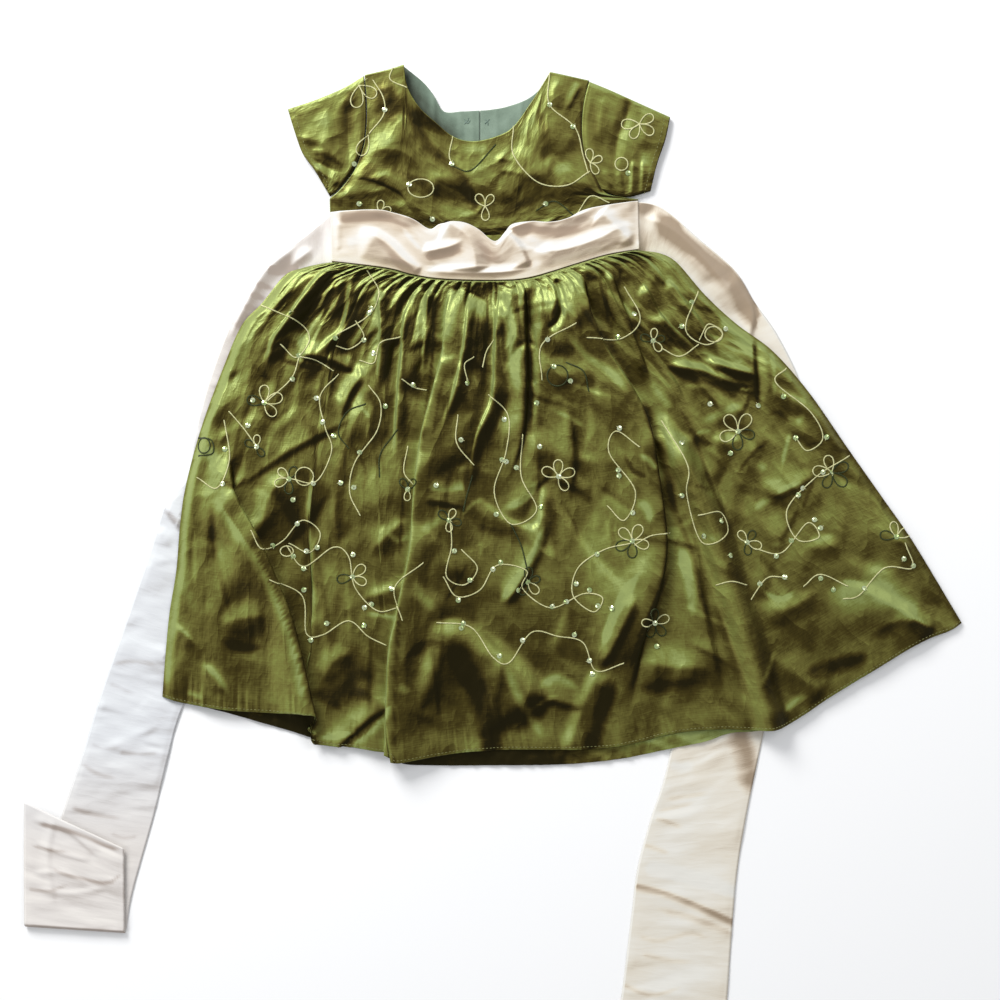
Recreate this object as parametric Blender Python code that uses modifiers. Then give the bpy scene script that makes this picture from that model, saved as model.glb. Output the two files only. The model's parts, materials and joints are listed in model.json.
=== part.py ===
"""A small child's party dress of embroidered taffeta, laid flat on its back.

The dress has a round-necked bodice with cap sleeves, a gathered skirt, a satin
sash over the waist and two long sash ties that run out from the side seams and
under the skirt. Every piece of cloth is a thin wall of its own, cut to its own
outline. +Z is up, +Y runs towards the neck, and the origin is the middle of the
underside, on the surface that the dress lies on. Sizes are in millimetres.
"""

import math

import bmesh
import bpy

MM = 0.001

# Driving sizes of the cloth and of the stack of layers
WALL = 1.2
LINING_WALL = 1.0
SKIRT_WALL = 2.0
SEAM = 0.3
LAYER = 0.8

# The waist seam, from the wearer's right side seam to the left: x, y
WAIST = [
    (-125.6, 229.3), (-82.7, 223.9), (-61.6, 218.6), (-36.7, 215.3), (0.8, 214.5),
    (28.1, 216.5), (64.0, 227.0), (88.9, 234.3), (113.9, 238.7),
]
WAIST_GAP = 0.6

# Bodice outline: x, y
SIDE_SEAM_LEFT = [(-125.6, 229.3), (-127.1, 278.1)]
SIDE_SEAM_RIGHT = [(113.9, 238.7), (113.1, 277.7)]
ARMHOLE_LEFT = [
    (-127.1, 278.1), (-118.6, 285.5), (-107.6, 300.3), (-100.2, 319.8),
    (-98.0, 339.3), (-98.3, 356.5), (-99.8, 374.4),
]
ARMHOLE_RIGHT = [
    (113.1, 277.7), (100.0, 279.5), (87.0, 283.1), (78.5, 298.4),
    (72.0, 315.5), (69.9, 332.7), (71.0, 351.8), (74.9, 370.1),
]
SHOULDER_LEFT = [(-99.8, 374.4), (-69.4, 381.4)]
SHOULDER_RIGHT = [(44.5, 376.7), (74.9, 370.1)]
NECK_FRONT = [
    (-69.4, 381.4), (-66.3, 363.5), (-56.9, 347.9), (-44.5, 337.0), (-30.4, 326.3),
    (-15.6, 322.9), (1.6, 326.3), (15.6, 333.8), (28.9, 351.8), (39.8, 368.9), (44.5, 376.7),
]
CENTRE_BACK = -10.1
NECK_BACK_LEFT = [
    (-69.4, 381.4), (-54.2, 368.9), (-45.6, 358.0), (-38.2, 346.3), (-24.2, 346.3),
    (CENTRE_BACK, 347.0),
]
NECK_BACK_RIGHT = [
    (CENTRE_BACK, 347.0), (-3.1, 347.5), (10.1, 349.8), (27.1, 356.1), (39.8, 366.9), (44.5, 376.7),
]
WAIST_BACK_MIDDLE = (CENTRE_BACK, 214.9)
LINING_FOOT = 300.3
LINING_MIDDLE = 296.0

# Front sash: its soft upper edge, x, y
SASH_TOP = [
    (-126.6, 267.7), (-91.3, 268.8), (-76.4, 266.3), (-61.6, 261.5), (-49.1, 254.3),
    (-40.6, 258.3), (-24.2, 259.4), (-11.7, 254.6), (-1.1, 245.7), (3.9, 245.7),
    (9.4, 251.9), (15.6, 258.2), (30.4, 260.0), (44.9, 259.4), (57.4, 262.1),
    (70.0, 268.8), (86.6, 272.5), (113.1, 276.5),
]

# Skirt outline: x, y
SKIRT_LEFT = [
    (-125.6, 228.7), (-133.4, 227.8), (-149.3, 224.1), (-162.7, 218.2), (-179.4, 197.3),
    (-195.8, 179.4), (-210.6, 145.1), (-227.0, 100.2), (-238.7, 56.9), (-243.4, 26.5),
    (-246.5, -10.9), (-251.9, -44.9), (-255.1, -78.8), (-257.4, -109.2),
]
SKIRT_RIGHT = [
    (113.9, 238.1), (130.7, 235.6), (144.0, 227.8), (164.6, 203.6), (189.5, 180.6),
    (217.6, 159.9), (245.7, 127.9), (276.1, 84.2), (301.9, 47.6), (326.8, 11.7),
    (356.9, -38.2), (365.0, -51.9),
]
HEM_FRONT = [
    (-257.4, -109.2), (-241.8, -113.9), (-207.5, -119.3), (-173.9, -121.7), (-143.5, -124.3),
    (-140.6, -143.5), (-129.9, -147.0), (-106.1, -149.0), (-79.2, -154.4), (-74.9, -159.9),
    (-46.0, -155.5), (-20.3, -152.1), (13.3, -150.5), (55.4, -150.5), (89.4, -149.0),
    (114.7, -144.3), (131.8, -139.6), (152.9, -136.0), (179.4, -134.2), (206.7, -134.9),
    (224.6, -132.6), (242.6, -122.5), (263.6, -108.4), (296.0, -88.6), (331.9, -67.1),
    (354.9, -58.2), (365.0, -51.9),
]
HEM_BACK = [
    (-257.4, -109.2), (-207.5, -122.0), (-158.3, -136.1), (-129.9, -144.5), (-79.6, -152.0),
    (-71.2, -161.5), (-46.0, -163.0), (-3.9, -163.0), (55.4, -162.2), (97.9, -158.1),
    (131.8, -151.3), (165.4, -144.3), (184.9, -137.8), (224.6, -131.0), (295.6, -87.4),
    (365.0, -51.9),
]
BACK_INSET = 1.2

# Sleeve outlines, as they lie: the fold along the top, the cuff and the underarm, x, y
SLEEVE_LEFT = {
    "armhole": [
        (-100.6, 375.0), (-99.2, 356.5), (-98.9, 339.3), (-101.1, 319.8),
        (-108.5, 300.7), (-119.4, 286.3), (-127.9, 279.3),
    ],
    "top": [(-100.6, 375.0), (-115.4, 366.0), (-137.0, 356.5), (-159.9, 348.7)],
    "cuff": [(-159.9, 348.7), (-154.4, 330.7), (-148.2, 313.6), (-139.6, 301.5), (-132.0, 289.0)],
    "underarm": [(-127.9, 279.3), (-132.0, 289.0)],
}
SLEEVE_RIGHT = {
    "armhole": [
        (75.8, 370.3), (71.9, 351.8), (70.8, 332.7), (72.9, 315.8), (79.4, 299.0), (87.9, 284.3),
    ],
    "top": [(75.8, 370.3), (92.0, 363.5), (110.8, 354.9), (138.1, 342.4)],
    "cuff": [(138.1, 342.4), (134.2, 324.1), (127.6, 304.6), (122.5, 285.1)],
    "underarm": [(87.9, 284.3), (104.0, 281.9), (122.5, 285.1)],
}

# Ties, a row for each section: outer edge x, y, inner edge x, y, height of a pleat there
TIE_LEFT = [
    (-127.4, 267.5, -126.3, 230.6, 1.6), (-150.5, 246.5, -137.5, 207.0, 1.4),
    (-177.1, 227.8, -146.0, 181.0, 1.0), (-200.5, 190.3, -150.0, 160.0, 0.0),
    (-211.4, 164.6, -156.5, 138.0, 0.0), (-222.3, 133.4, -165.0, 112.0, 0.0),
    (-238.7, 60.8, -181.0, 45.0, 0.0), (-255.1, 41.3, -190.0, 20.0, 0.0),
    (-267.5, 3.1, -204.0, -16.0, 0.0), (-287.0, -53.8, -223.0, -72.0, 0.0),
    (-306.5, -110.0, -244.5, -125.0, 0.0), (-333.1, -192.7, -264.5, -203.0, 0.0),
    (-352.0, -250.0, -281.0, -262.0, 0.0), (-364.0, -287.0, -286.0, -292.0, 0.0),
]
TIE_LEFT_TURNED = [
    (-364.6, -287.0, -286.6, -292.0), (-365.0, -240.0, -286.8, -262.0), (-365.0, -191.1, -287.0, -227.5),
]
TIE_RIGHT = [
    (114.3, 276.0, 114.4, 239.4, 2.4), (131.8, 271.4, 119.0, 229.0, 3.0),
    (161.5, 246.5, 122.0, 201.0, 2.6), (188.8, 222.3, 131.0, 178.0, 1.6),
    (204.4, 197.3, 138.0, 163.0, 0.6), (222.0, 172.0, 147.0, 144.0, 0.0),
    (240.2, 132.6, 163.0, 115.0, 0.0), (245.0, 90.5, 168.0, 84.0, 0.0),
    (240.0, 0.0, 163.0, -8.0, 0.0), (211.4, -135.7, 138.6, -152.1, 0.0),
    (198.1, -198.9, 122.5, -206.7, 0.0), (190.7, -243.4, 112.7, -243.4, 0.0),
    (187.2, -280.0, 108.0, -280.0, 0.0), (182.5, -346.3, 100.6, -340.0, 0.0),
    (180.2, -381.4, 97.5, -352.0, 0.0),
]
TIE_TURN_RADIUS = 1.3
TIE_PLEATS = 4
TIE_RAMP = 24.0
TIE_MARGIN = 16.0

# Gathers of the skirt front: how many, how high, and how far down they run
GATHERS = 36
COLUMNS_PER_GATHER = 3
GATHER_HEIGHT = 3.8
GATHER_REACH = 0.17

# Largest folds of the skirt front, a row for each: share across at the waist, share across at
# the hem, shares down from and to, height, fall to the left side, fall to the right side
SKIRT_FOLDS = [
    (0.040, 0.090, 0.10, 1.05, 5.0, 16.0, 22.0),
    (0.100, 0.170, 0.42, 1.20, 11.0, 50.0, 10.0),
    (0.170, 0.235, 0.02, 0.80, 6.0, 14.0, 18.0),
    (0.290, 0.275, 0.00, 0.85, 6.5, 16.0, 12.0),
    (0.410, 0.318, 0.02, 1.20, 10.5, 10.0, 60.0),
    (0.500, 0.405, 0.00, 0.75, 6.5, 14.0, 18.0),
    (0.585, 0.475, 0.00, 1.10, 8.0, 30.0, 12.0),
    (0.660, 0.540, 0.00, 1.15, 8.5, 12.0, 34.0),
    (0.840, 0.600, 0.06, 1.20, 11.0, 54.0, 10.0),
    (0.900, 0.680, 0.15, 0.80, 5.5, 14.0, 14.0),
    (0.930, 0.762, 0.10, 1.20, 10.0, 17.0, 17.0),
    (0.970, 0.870, 0.18, 1.10, 6.0, 26.0, 40.0),
]
FOLD_FADE = 0.16
EDGE_ROLL = 14.0

# Soft folds of the front sash, a row for each: share across at the lower and the upper edge,
# height, fall to each side
SASH_FOLDS = [
    (0.13, 0.05, 2.6, 12.0), (0.34, 0.16, 3.0, 13.0), (0.41, 0.36, 2.2, 10.0),
    (0.52, 0.45, 3.0, 11.0), (0.60, 0.62, 2.6, 14.0), (0.79, 0.70, 2.4, 16.0), (0.93, 0.84, 2.0, 12.0),
]
SASH_PUFF = 2.2

# Creases of the bodice front, a row for each: from x, y, to x, y, height, half width
BODICE_FOLDS = [
    (-121.0, 287.0, -52.0, 262.0, 2.6, 9.0), (-112.0, 300.0, -30.0, 288.0, 2.2, 10.0),
    (-80.0, 372.0, -72.0, 318.0, 1.8, 9.0), (56.0, 368.0, 44.0, 322.0, 2.4, 9.0),
    (84.0, 296.0, 20.0, 300.0, 1.8, 12.0),
]
SLEEVE_HEIGHT = 2.4
SLEEVE_FOLDS = [(0.42, 1.3, 0.13), (0.72, 1.6, 0.10), (0.90, 1.2, 0.07)]


def clamp(value, low=0.0, high=1.0):
    return max(low, min(high, value))


def smooth(t):
    """Rises gently from 0 to 1 as t does."""
    t = clamp(t)
    return t * t * (3 - 2 * t)


def bump(t):
    """1 at 0, and gently down to 0 at -1 and 1."""
    return math.cos(math.pi / 2 * t) ** 2 if abs(t) < 1 else 0.0


def mix(a, b, t):
    return tuple(p + (q - p) * t for p, q in zip(a, b))


def edge(points):
    """A function from 0..1 to the point that far along the outline through these points."""
    lengths = [0.0]
    for a, b in zip(points, points[1:]):
        lengths.append(lengths[-1] + math.dist(a, b))

    def at(t):
        want = clamp(t) * lengths[-1]
        for i in range(len(points) - 1):
            if want <= lengths[i + 1] or i == len(points) - 2:
                span = lengths[i + 1] - lengths[i]
                return mix(points[i], points[i + 1], (want - lengths[i]) / span)

    return at


def joined(parts):
    """One outline from several: each row is the share where it ends, and its points."""

    def at(t):
        start = 0.0
        for stop, points in parts:
            if t <= stop + 1e-9 or stop == parts[-1][0]:
                return edge(points)((t - start) / (stop - start))
            start = stop

    return at


def patch(near, far, left, right):
    """A function from (across, along) to the point of a panel between its four outlines."""
    corners = near(0), near(1), far(0), far(1)

    def at(u, v):
        ends = mix(mix(corners[0], corners[1], u), mix(corners[2], corners[3], u), v)
        rows, sides = mix(near(u), far(u), v), mix(left(v), right(v), u)
        return tuple(r + s - e for r, s, e in zip(rows, sides, ends))

    return at


def shifted(points, dx, dy):
    return [(x + dx, y + dy) for x, y in points]


def spaced_off(point, start, end):
    """How far a point lies from the stretch between two others."""
    dx, dy = end[0] - start[0], end[1] - start[1]
    t = clamp(((point[0] - start[0]) * dx + (point[1] - start[1]) * dy) / (dx * dx + dy * dy))
    return math.dist(point, (start[0] + t * dx, start[1] + t * dy))


def tie_under(point):
    """1 over a tie and 0 away from it, with a ramp beside the tie."""
    found = 0.0
    for rows in (TIE_LEFT, TIE_RIGHT):
        for a, b in zip(rows, rows[1:]):
            start, end = mix(a[:2], a[2:4], 0.5), mix(b[:2], b[2:4], 0.5)
            half = max(math.dist(a[:2], a[2:4]), math.dist(b[:2], b[2:4])) / 2
            off = spaced_off(point, start, end) - half - TIE_MARGIN
            found = max(found, smooth(1 - off / TIE_RAMP))
    return found


def tie_rise(point):
    """How high a pleat lifts the tie's top near its root, so that the skirt clears it."""
    found = 0.0
    for rows in (TIE_LEFT, TIE_RIGHT):
        for row in rows:
            middle = mix(row[:2], row[2:4], 0.5)
            found = max(found, row[4] * smooth(2.2 - math.dist(point, middle) / 34.0))
    return found


# Bodice panels, each from its own outlines
bodice_left_side = joined([(0.3, SIDE_SEAM_LEFT), (1.0, ARMHOLE_LEFT)])
bodice_right_side = joined([(0.3, SIDE_SEAM_RIGHT), (1.0, ARMHOLE_RIGHT)])
SHOULDER_SHARE = 3 / 24
front_top_edge = joined(
    [(SHOULDER_SHARE, SHOULDER_LEFT), (1 - SHOULDER_SHARE, NECK_FRONT), (1.0, SHOULDER_RIGHT)]
)
bodice_front_at = patch(edge(WAIST), front_top_edge, bodice_left_side, bodice_right_side)


def bodice_crease(point):
    """Height of the bodice's creases, which fade out at the ends of each."""
    height = 0.0
    for x0, y0, x1, y1, high, half in BODICE_FOLDS:
        height += high * bump(spaced_off(point, (x0, y0), (x1, y1)) / half)
    return height


def bodice_front_top(u, v):
    """The front lies on the lining at the chest, and comes down to the back at its side seams."""
    x, y = bodice_front_at(u, v)
    side = smooth(min(u, 1 - u) * 240.0 / 16.0)
    over_lining = smooth((y - (LINING_MIDDLE - 24.0)) / 16.0)
    rest = WALL + SEAM + (LINING_WALL + SEAM) * over_lining
    loft = 1.6 * side * smooth((0.96 - v) / 0.2) + bodice_crease((x, y)) * side * smooth((v - 0.28) / 0.15)
    return x, y, rest + loft + WALL


sash_at = patch(
    edge(shifted(WAIST, 0.0, 0.2)), edge(SASH_TOP),
    edge([(-125.6, 229.5), (-126.6, 267.7)]), edge([(113.9, 238.9), (113.1, 276.5)]),
)


def sash_top(u, v):
    """The sash lies on the bodice, with soft slanting folds and an upper edge that stands away."""
    x, y = sash_at(u, v)
    side = smooth(min(u, 1 - u) * 240.0 / 14.0)
    under = WALL + SEAM + 1.6 + WALL + 0.4
    height = SASH_PUFF * smooth(v) * side
    for low, high, tall, fall in SASH_FOLDS:
        height += tall * bump((u - low - (high - low) * v) * 240.0 / fall) * smooth(v / 0.25) * side
    return x, y, under - 1.0 * (1 - side) + height + WALL


# Skirt panels
skirt_front_at = patch(
    edge(shifted(WAIST, 0.0, -WAIST_GAP)), edge(HEM_FRONT), edge(SKIRT_LEFT), edge(SKIRT_RIGHT)
)
skirt_back_at = patch(
    edge(shifted(WAIST, 0.0, -WAIST_GAP)),
    edge(HEM_BACK),
    edge(shifted(SKIRT_LEFT, BACK_INSET, 0.0)),
    edge(shifted(SKIRT_RIGHT, -BACK_INSET, 0.0)),
)


def skirt_back_under(point):
    return (WALL + 0.5) * tie_under(point) + tie_rise(point)


def skirt_back_top(u, v):
    x, y = skirt_back_at(u, v)
    return x, y, skirt_back_under((x, y)) + WALL


def skirt_span(v):
    """Width of the skirt front at that share down from the waist."""
    return 242.0 + 400.0 * v


def gather(u, v):
    """Small gathers at the waist, each with a height and a reach of its own."""
    index = math.floor(u * GATHERS)
    own = 0.5 + 0.5 * math.sin(2.4 * index)
    reach = GATHER_REACH * (0.45 + 1.3 * own)
    wave = 0.5 - 0.5 * math.cos(2 * math.pi * (u * GATHERS - 1 / (2 * COLUMNS_PER_GATHER)))
    return GATHER_HEIGHT * (0.7 + 0.4 * own) * wave * math.exp(-((v / reach) ** 2))


def skirt_fold(u, v):
    """The largest folds, from the waist towards the hem."""
    height = 0.0
    for waist, hem, start, stop, tall, fall_left, fall_right in SKIRT_FOLDS:
        off = (u - waist - (hem - waist) * smooth(v) ** 0.7) * skirt_span(v)
        spread = 0.45 + 0.55 * clamp(v / 0.5)
        profile = bump(off / (fall_left * spread)) if off < 0 else bump(off / (fall_right * spread))
        fade = smooth((v - start) / FOLD_FADE) * smooth((stop - v) / FOLD_FADE)
        height = max(height, tall * profile * fade)
    return height


def skirt_front_top(u, v):
    x, y = skirt_front_at(u, v)
    side = smooth(min(u, 1 - u) * skirt_span(v) / EDGE_ROLL)
    under = skirt_back_under((x, y)) + WALL + LAYER
    loft = (0.6 + skirt_fold(u, v) + gather(u, v)) * side
    return x, y, under + loft + SKIRT_WALL


# Building the pieces


def material(name, colour, roughness, sheen=0.0):
    made = bpy.data.materials.new(name)
    made.use_nodes = True
    shader = made.node_tree.nodes["Principled BSDF"]
    shader.inputs["Base Color"].default_value = (*colour, 1.0)
    shader.inputs["Roughness"].default_value = roughness
    shader.inputs["Metallic"].default_value = 0.0
    shader.inputs["Sheen Weight"].default_value = sheen
    return made


def added(name, mesh, look):
    mesh.materials.append(look)
    thing = bpy.data.objects.new(name, mesh)
    pieces.objects.link(thing)
    return thing


def shares(count, power=1.0):
    return [(i / count) ** power for i in range(count + 1)]


def grid(across, along, place):
    """A grid of faces whose points are moved to their place on a panel."""
    made = bmesh.new()
    columns, rows = len(across) - 1, len(along) - 1
    bmesh.ops.create_grid(made, x_segments=columns, y_segments=rows, size=1.0)
    for vertex in made.verts:
        u = across[round((vertex.co.x + 1) / 2 * columns)]
        v = along[round((vertex.co.y + 1) / 2 * rows)]
        x, y, z = place(u, v)
        vertex.co = (x * MM, y * MM, z * MM)
    return made


def cloth(name, look, across, along, place, wall):
    """A panel of cloth: its upper surface, and the same points a wall lower."""
    made = grid(across, along, place)
    lower = bmesh.ops.extrude_face_region(made, geom=list(made.faces))["geom"]
    for item in lower:
        if isinstance(item, bmesh.types.BMVert):
            item.co.z -= wall * MM
    bmesh.ops.recalc_face_normals(made, faces=made.faces)
    mesh = bpy.data.meshes.new(name)
    made.to_mesh(mesh)
    made.free()
    mesh.shade_smooth()
    mesh.set_sharp_from_angle(angle=math.radians(50))
    return added(name, mesh, look)


def flat_cloth(name, look, columns, rows, at, bottom, wall):
    """A panel that lies flat at one height."""

    def place(u, v):
        return *at(u, v), bottom + wall

    return cloth(name, look, shares(columns), shares(rows), place, wall)


def solid_sheet(name, look, made, wall):
    """A thin wall round the surface in made, half to each side."""
    mesh = bpy.data.meshes.new(name)
    made.to_mesh(mesh)
    made.free()
    mesh.shade_smooth()
    thing = added(name, mesh, look)
    thicken = thing.modifiers.new("cloth", "SOLIDIFY")
    thicken.thickness = wall * MM
    thicken.offset = 0.0
    thicken.use_even_offset = True
    return thing


def tie_place(rows, turned):
    """The middle surface of a tie, along its sections and round the turn at its end."""
    lying = [(*row[:4], WALL / 2, row[4]) for row in rows]
    if turned:
        outer, inner = rows[-1][:2], rows[-1][2:4]
        for step in range(1, 6):
            angle = math.pi * step / 6
            out, up = TIE_TURN_RADIUS * math.sin(angle), TIE_TURN_RADIUS * (1 - math.cos(angle))
            lying.append((outer[0], outer[1] - out, inner[0], inner[1] - out, WALL / 2 + up, 0.0))
        for row in turned:
            lying.append((*row, WALL / 2 + 2 * TIE_TURN_RADIUS, 0.0))

    def at(u, v):
        row = lying[round(v * (len(lying) - 1))]
        x, y = mix(row[:2], row[2:4], u)
        pleat = row[5] * (0.5 - 0.5 * math.cos(2 * math.pi * TIE_PLEATS * u))
        return x, y, row[4] + pleat

    return at, len(lying) - 1


def tie(name, look, rows, turned=()):
    at, count = tie_place(rows, turned)
    return solid_sheet(name, look, grid(shares(TIE_PLEATS * 2), shares(count), at), WALL)


def sleeve(name, look, outline):
    """A cap sleeve: one tube, flattened, with its fold along the top."""
    around, along = 20, 8
    at = patch(
        edge(outline["armhole"]), edge(outline["cuff"]), edge(outline["top"]), edge(outline["underarm"])
    )
    middle = SLEEVE_HEIGHT

    def place(u, v):
        angle = 2 * math.pi * u
        across, high = 0.5 - 0.5 * math.cos(angle), math.sin(angle)
        x, y = at(0.012 + 0.976 * across, v)
        fold = 0.0
        if high > 0:
            for share, tall, half in SLEEVE_FOLDS:
                fold += tall * bump((across - share - 0.12 * v) / half) * high
        flat = math.copysign(abs(high) ** 0.45, high)
        return x, y, middle + (SLEEVE_HEIGHT - WALL / 2 - 0.1) * flat + fold

    made = grid(shares(around), shares(along), place)
    bmesh.ops.remove_doubles(made, verts=made.verts, dist=0.01 * MM)
    bmesh.ops.recalc_face_normals(made, faces=made.faces)
    return solid_sheet(name, look, made, LINING_WALL)


for old in list(bpy.data.objects):
    bpy.data.objects.remove(old)
pieces = bpy.data.collections.new("embroidered_dress")
bpy.context.scene.collection.children.link(pieces)

taffeta = material("green_taffeta", (0.16, 0.17, 0.035), 0.42, 0.3)
satin = material("cream_satin", (0.80, 0.72, 0.60), 0.38, 0.1)
lining = material("grey_green_lining", (0.26, 0.38, 0.31), 0.60)

# Back of the bodice, in two halves that meet at the closure, and the lining that shows at the neck
half_gap = SEAM / 2 + 0.05
for side_name, neck, shoulder, side, armhole, sign in (
    ("left", NECK_BACK_LEFT, SHOULDER_LEFT, bodice_left_side, ARMHOLE_LEFT, -1),
    ("right", NECK_BACK_RIGHT, SHOULDER_RIGHT, bodice_right_side, ARMHOLE_RIGHT, 1),
):
    middle_x = CENTRE_BACK + sign * half_gap
    neck = [(middle_x if x == CENTRE_BACK else x, y) for x, y in neck]
    split = [point for point in WAIST if sign * (point[0] - CENTRE_BACK) > 0]
    foot = (middle_x, WAIST_BACK_MIDDLE[1])
    armhole_top = [point for point in armhole if point[1] >= LINING_FOOT - 2.0]
    if sign < 0:
        waist, top = edge([*split, foot]), joined([(0.25, shoulder), (1.0, neck)])
        sides = side, edge([foot, neck[-1]])
        lining_foot = edge([armhole_top[0], (middle_x, LINING_MIDDLE)])
        lining_sides = edge(armhole_top), edge([(middle_x, LINING_MIDDLE), neck[-1]])
    else:
        waist, top = edge([foot, *split]), joined([(0.75, neck), (1.0, shoulder)])
        sides = edge([foot, neck[0]]), side
        lining_foot = edge([(middle_x, LINING_MIDDLE), armhole_top[0]])
        lining_sides = edge([(middle_x, LINING_MIDDLE), neck[0]]), edge(armhole_top)
    flat_cloth(f"bodice_back_{side_name}", taffeta, 12, 20, patch(waist, top, *sides), 0.0, WALL)
    flat_cloth(
        f"back_lining_{side_name}", lining, 12, 14,
        patch(lining_foot, top, *lining_sides), WALL + SEAM, LINING_WALL,
    )

cloth("bodice_front", taffeta, shares(24), shares(20), bodice_front_top, WALL)
cloth("sash_front", satin, shares(32), shares(7), sash_top, WALL)
cloth("skirt_back", taffeta, shares(30), shares(14), skirt_back_top, WALL)
cloth(
    "skirt_front", taffeta, shares(GATHERS * COLUMNS_PER_GATHER), shares(11, 1.35),
    skirt_front_top, SKIRT_WALL,
)
sleeve("sleeve_left", taffeta, SLEEVE_LEFT)
sleeve("sleeve_right", taffeta, SLEEVE_RIGHT)
tie("tie_left", satin, TIE_LEFT, TIE_LEFT_TURNED)
tie("tie_right", satin, TIE_RIGHT)
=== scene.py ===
"""A small child's embroidered taffeta dress, laid flat and seen from straight above."""

import json
import math

import bmesh
import bpy
import numpy as np
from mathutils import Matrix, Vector
from mathutils.bvhtree import BVHTree

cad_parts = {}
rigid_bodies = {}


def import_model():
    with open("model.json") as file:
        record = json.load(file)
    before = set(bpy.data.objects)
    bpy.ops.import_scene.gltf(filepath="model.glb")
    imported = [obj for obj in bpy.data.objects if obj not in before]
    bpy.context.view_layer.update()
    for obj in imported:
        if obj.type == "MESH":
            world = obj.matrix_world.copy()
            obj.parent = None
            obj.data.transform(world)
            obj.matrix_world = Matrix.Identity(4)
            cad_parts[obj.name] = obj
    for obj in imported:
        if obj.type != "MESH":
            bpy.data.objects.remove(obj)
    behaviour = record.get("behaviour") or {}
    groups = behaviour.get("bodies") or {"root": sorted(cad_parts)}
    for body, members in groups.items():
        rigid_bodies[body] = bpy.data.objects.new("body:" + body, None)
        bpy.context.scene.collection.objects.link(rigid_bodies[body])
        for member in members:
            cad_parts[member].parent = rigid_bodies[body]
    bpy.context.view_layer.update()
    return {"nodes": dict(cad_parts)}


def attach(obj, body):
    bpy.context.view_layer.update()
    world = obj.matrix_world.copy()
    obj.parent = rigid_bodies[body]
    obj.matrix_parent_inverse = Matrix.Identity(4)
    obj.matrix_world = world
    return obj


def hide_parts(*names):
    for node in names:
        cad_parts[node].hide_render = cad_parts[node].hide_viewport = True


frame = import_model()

MM = 0.001
collection = bpy.context.scene.collection

# Camera, floor and light
# The dress lies on a pale floor under soft boxes, with the camera straight above it. The strongest
# light comes from the upper left, so that the shadow falls to the lower right.
PHOTO_WIDTH = 780 * MM
CAMERA_HEIGHT = 1.6
CAMERA_X = 5.5 * MM
CAMERA_Y = 43.7 * MM
SENSOR_WIDTH = 36.0
SKY_COLOUR = (0.95, 0.97, 1.0, 1.0)
SKY_STRENGTH = 0.50
FLOOR_COLOUR = (0.92, 0.92, 0.92, 1.0)
FLOOR_ROUGHNESS = 0.9
FLOOR_REACH = 4.0

camera = bpy.data.cameras.new("camera")
camera.sensor_width = SENSOR_WIDTH
camera.lens = SENSOR_WIDTH * CAMERA_HEIGHT / PHOTO_WIDTH
eye = bpy.data.objects.new("camera", camera)
eye.location = (CAMERA_X, CAMERA_Y, CAMERA_HEIGHT)
collection.objects.link(eye)
bpy.context.scene.camera = eye
bpy.context.scene.view_settings.view_transform = "Standard"

world = bpy.data.worlds.new("studio")
world.use_nodes = True
bpy.context.scene.world = world
sky = world.node_tree.nodes["Background"]
sky.inputs["Color"].default_value = SKY_COLOUR
sky.inputs["Strength"].default_value = SKY_STRENGTH

floor_mesh = bpy.data.meshes.new("floor")
corners = [(x * FLOOR_REACH, y * FLOOR_REACH, 0) for x, y in ((-1, -1), (1, -1), (1, 1), (-1, 1))]
floor_mesh.from_pydata(corners, [], [(0, 1, 2, 3)])
floor = bpy.data.objects.new("floor", floor_mesh)
collection.objects.link(floor)
pale = bpy.data.materials.new("pale_floor")
pale.use_nodes = True
coat = pale.node_tree.nodes["Principled BSDF"]
coat.inputs["Base Color"].default_value = FLOOR_COLOUR
coat.inputs["Roughness"].default_value = FLOOR_ROUGHNESS
floor_mesh.materials.append(pale)


def soft_box(name, azimuth, elevation, distance, size, watts):
    """A square soft box that faces the dress from that bearing, anticlockwise from +X."""
    lamp = bpy.data.lights.new(name, "AREA")
    lamp.shape = "SQUARE"
    lamp.size = size
    lamp.energy = watts
    held = bpy.data.objects.new(name, lamp)
    a, e = math.radians(azimuth), math.radians(elevation)
    away = Vector((math.cos(a) * math.cos(e), math.sin(a) * math.cos(e), math.sin(e)))
    held.location = away * distance
    held.rotation_euler = away.to_track_quat("Z", "Y").to_euler()
    collection.objects.link(held)


soft_box("key", 122, 31, 2.2, 0.9, 52)
soft_box("fill", 40, 50, 2.4, 1.0, 9)
soft_box("low_side", 200, 35, 2.4, 1.0, 7)

# Bodice back
# Two halves of the embroidered taffeta, which button down the centre back. They lie flat on the
# floor below the rest of the bodice, so that only their edges show.
WAIST = [
    (-125.6, 229.3), (-82.7, 223.9), (-61.6, 218.6), (-36.7, 215.3), (0.8, 214.5),
    (28.1, 216.5), (64.0, 227.0), (88.9, 234.3), (113.9, 238.7),
]
ARMHOLE_LEFT = [
    (-127.1, 278.1), (-118.6, 285.5), (-107.6, 300.3), (-100.2, 319.8),
    (-98.0, 339.3), (-98.3, 356.5), (-99.8, 374.4),
]
ARMHOLE_RIGHT = [
    (113.1, 277.7), (100.0, 279.5), (87.0, 283.1), (78.5, 298.4),
    (72.0, 315.5), (69.9, 332.7), (71.0, 351.8), (74.9, 370.1),
]
SHOULDER_LEFT = [(-99.8, 374.4), (-69.4, 381.4)]
SHOULDER_RIGHT = [(44.5, 376.7), (74.9, 370.1)]
SIDE_LEFT = [(0.3, [(-125.6, 229.3), (-127.1, 278.1)]), (1.0, ARMHOLE_LEFT)]
SIDE_RIGHT = [(0.3, [(113.9, 238.7), (113.1, 277.7)]), (1.0, ARMHOLE_RIGHT)]
CENTRE_BACK = -10.1
CENTRE_GAP = 0.2
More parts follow.
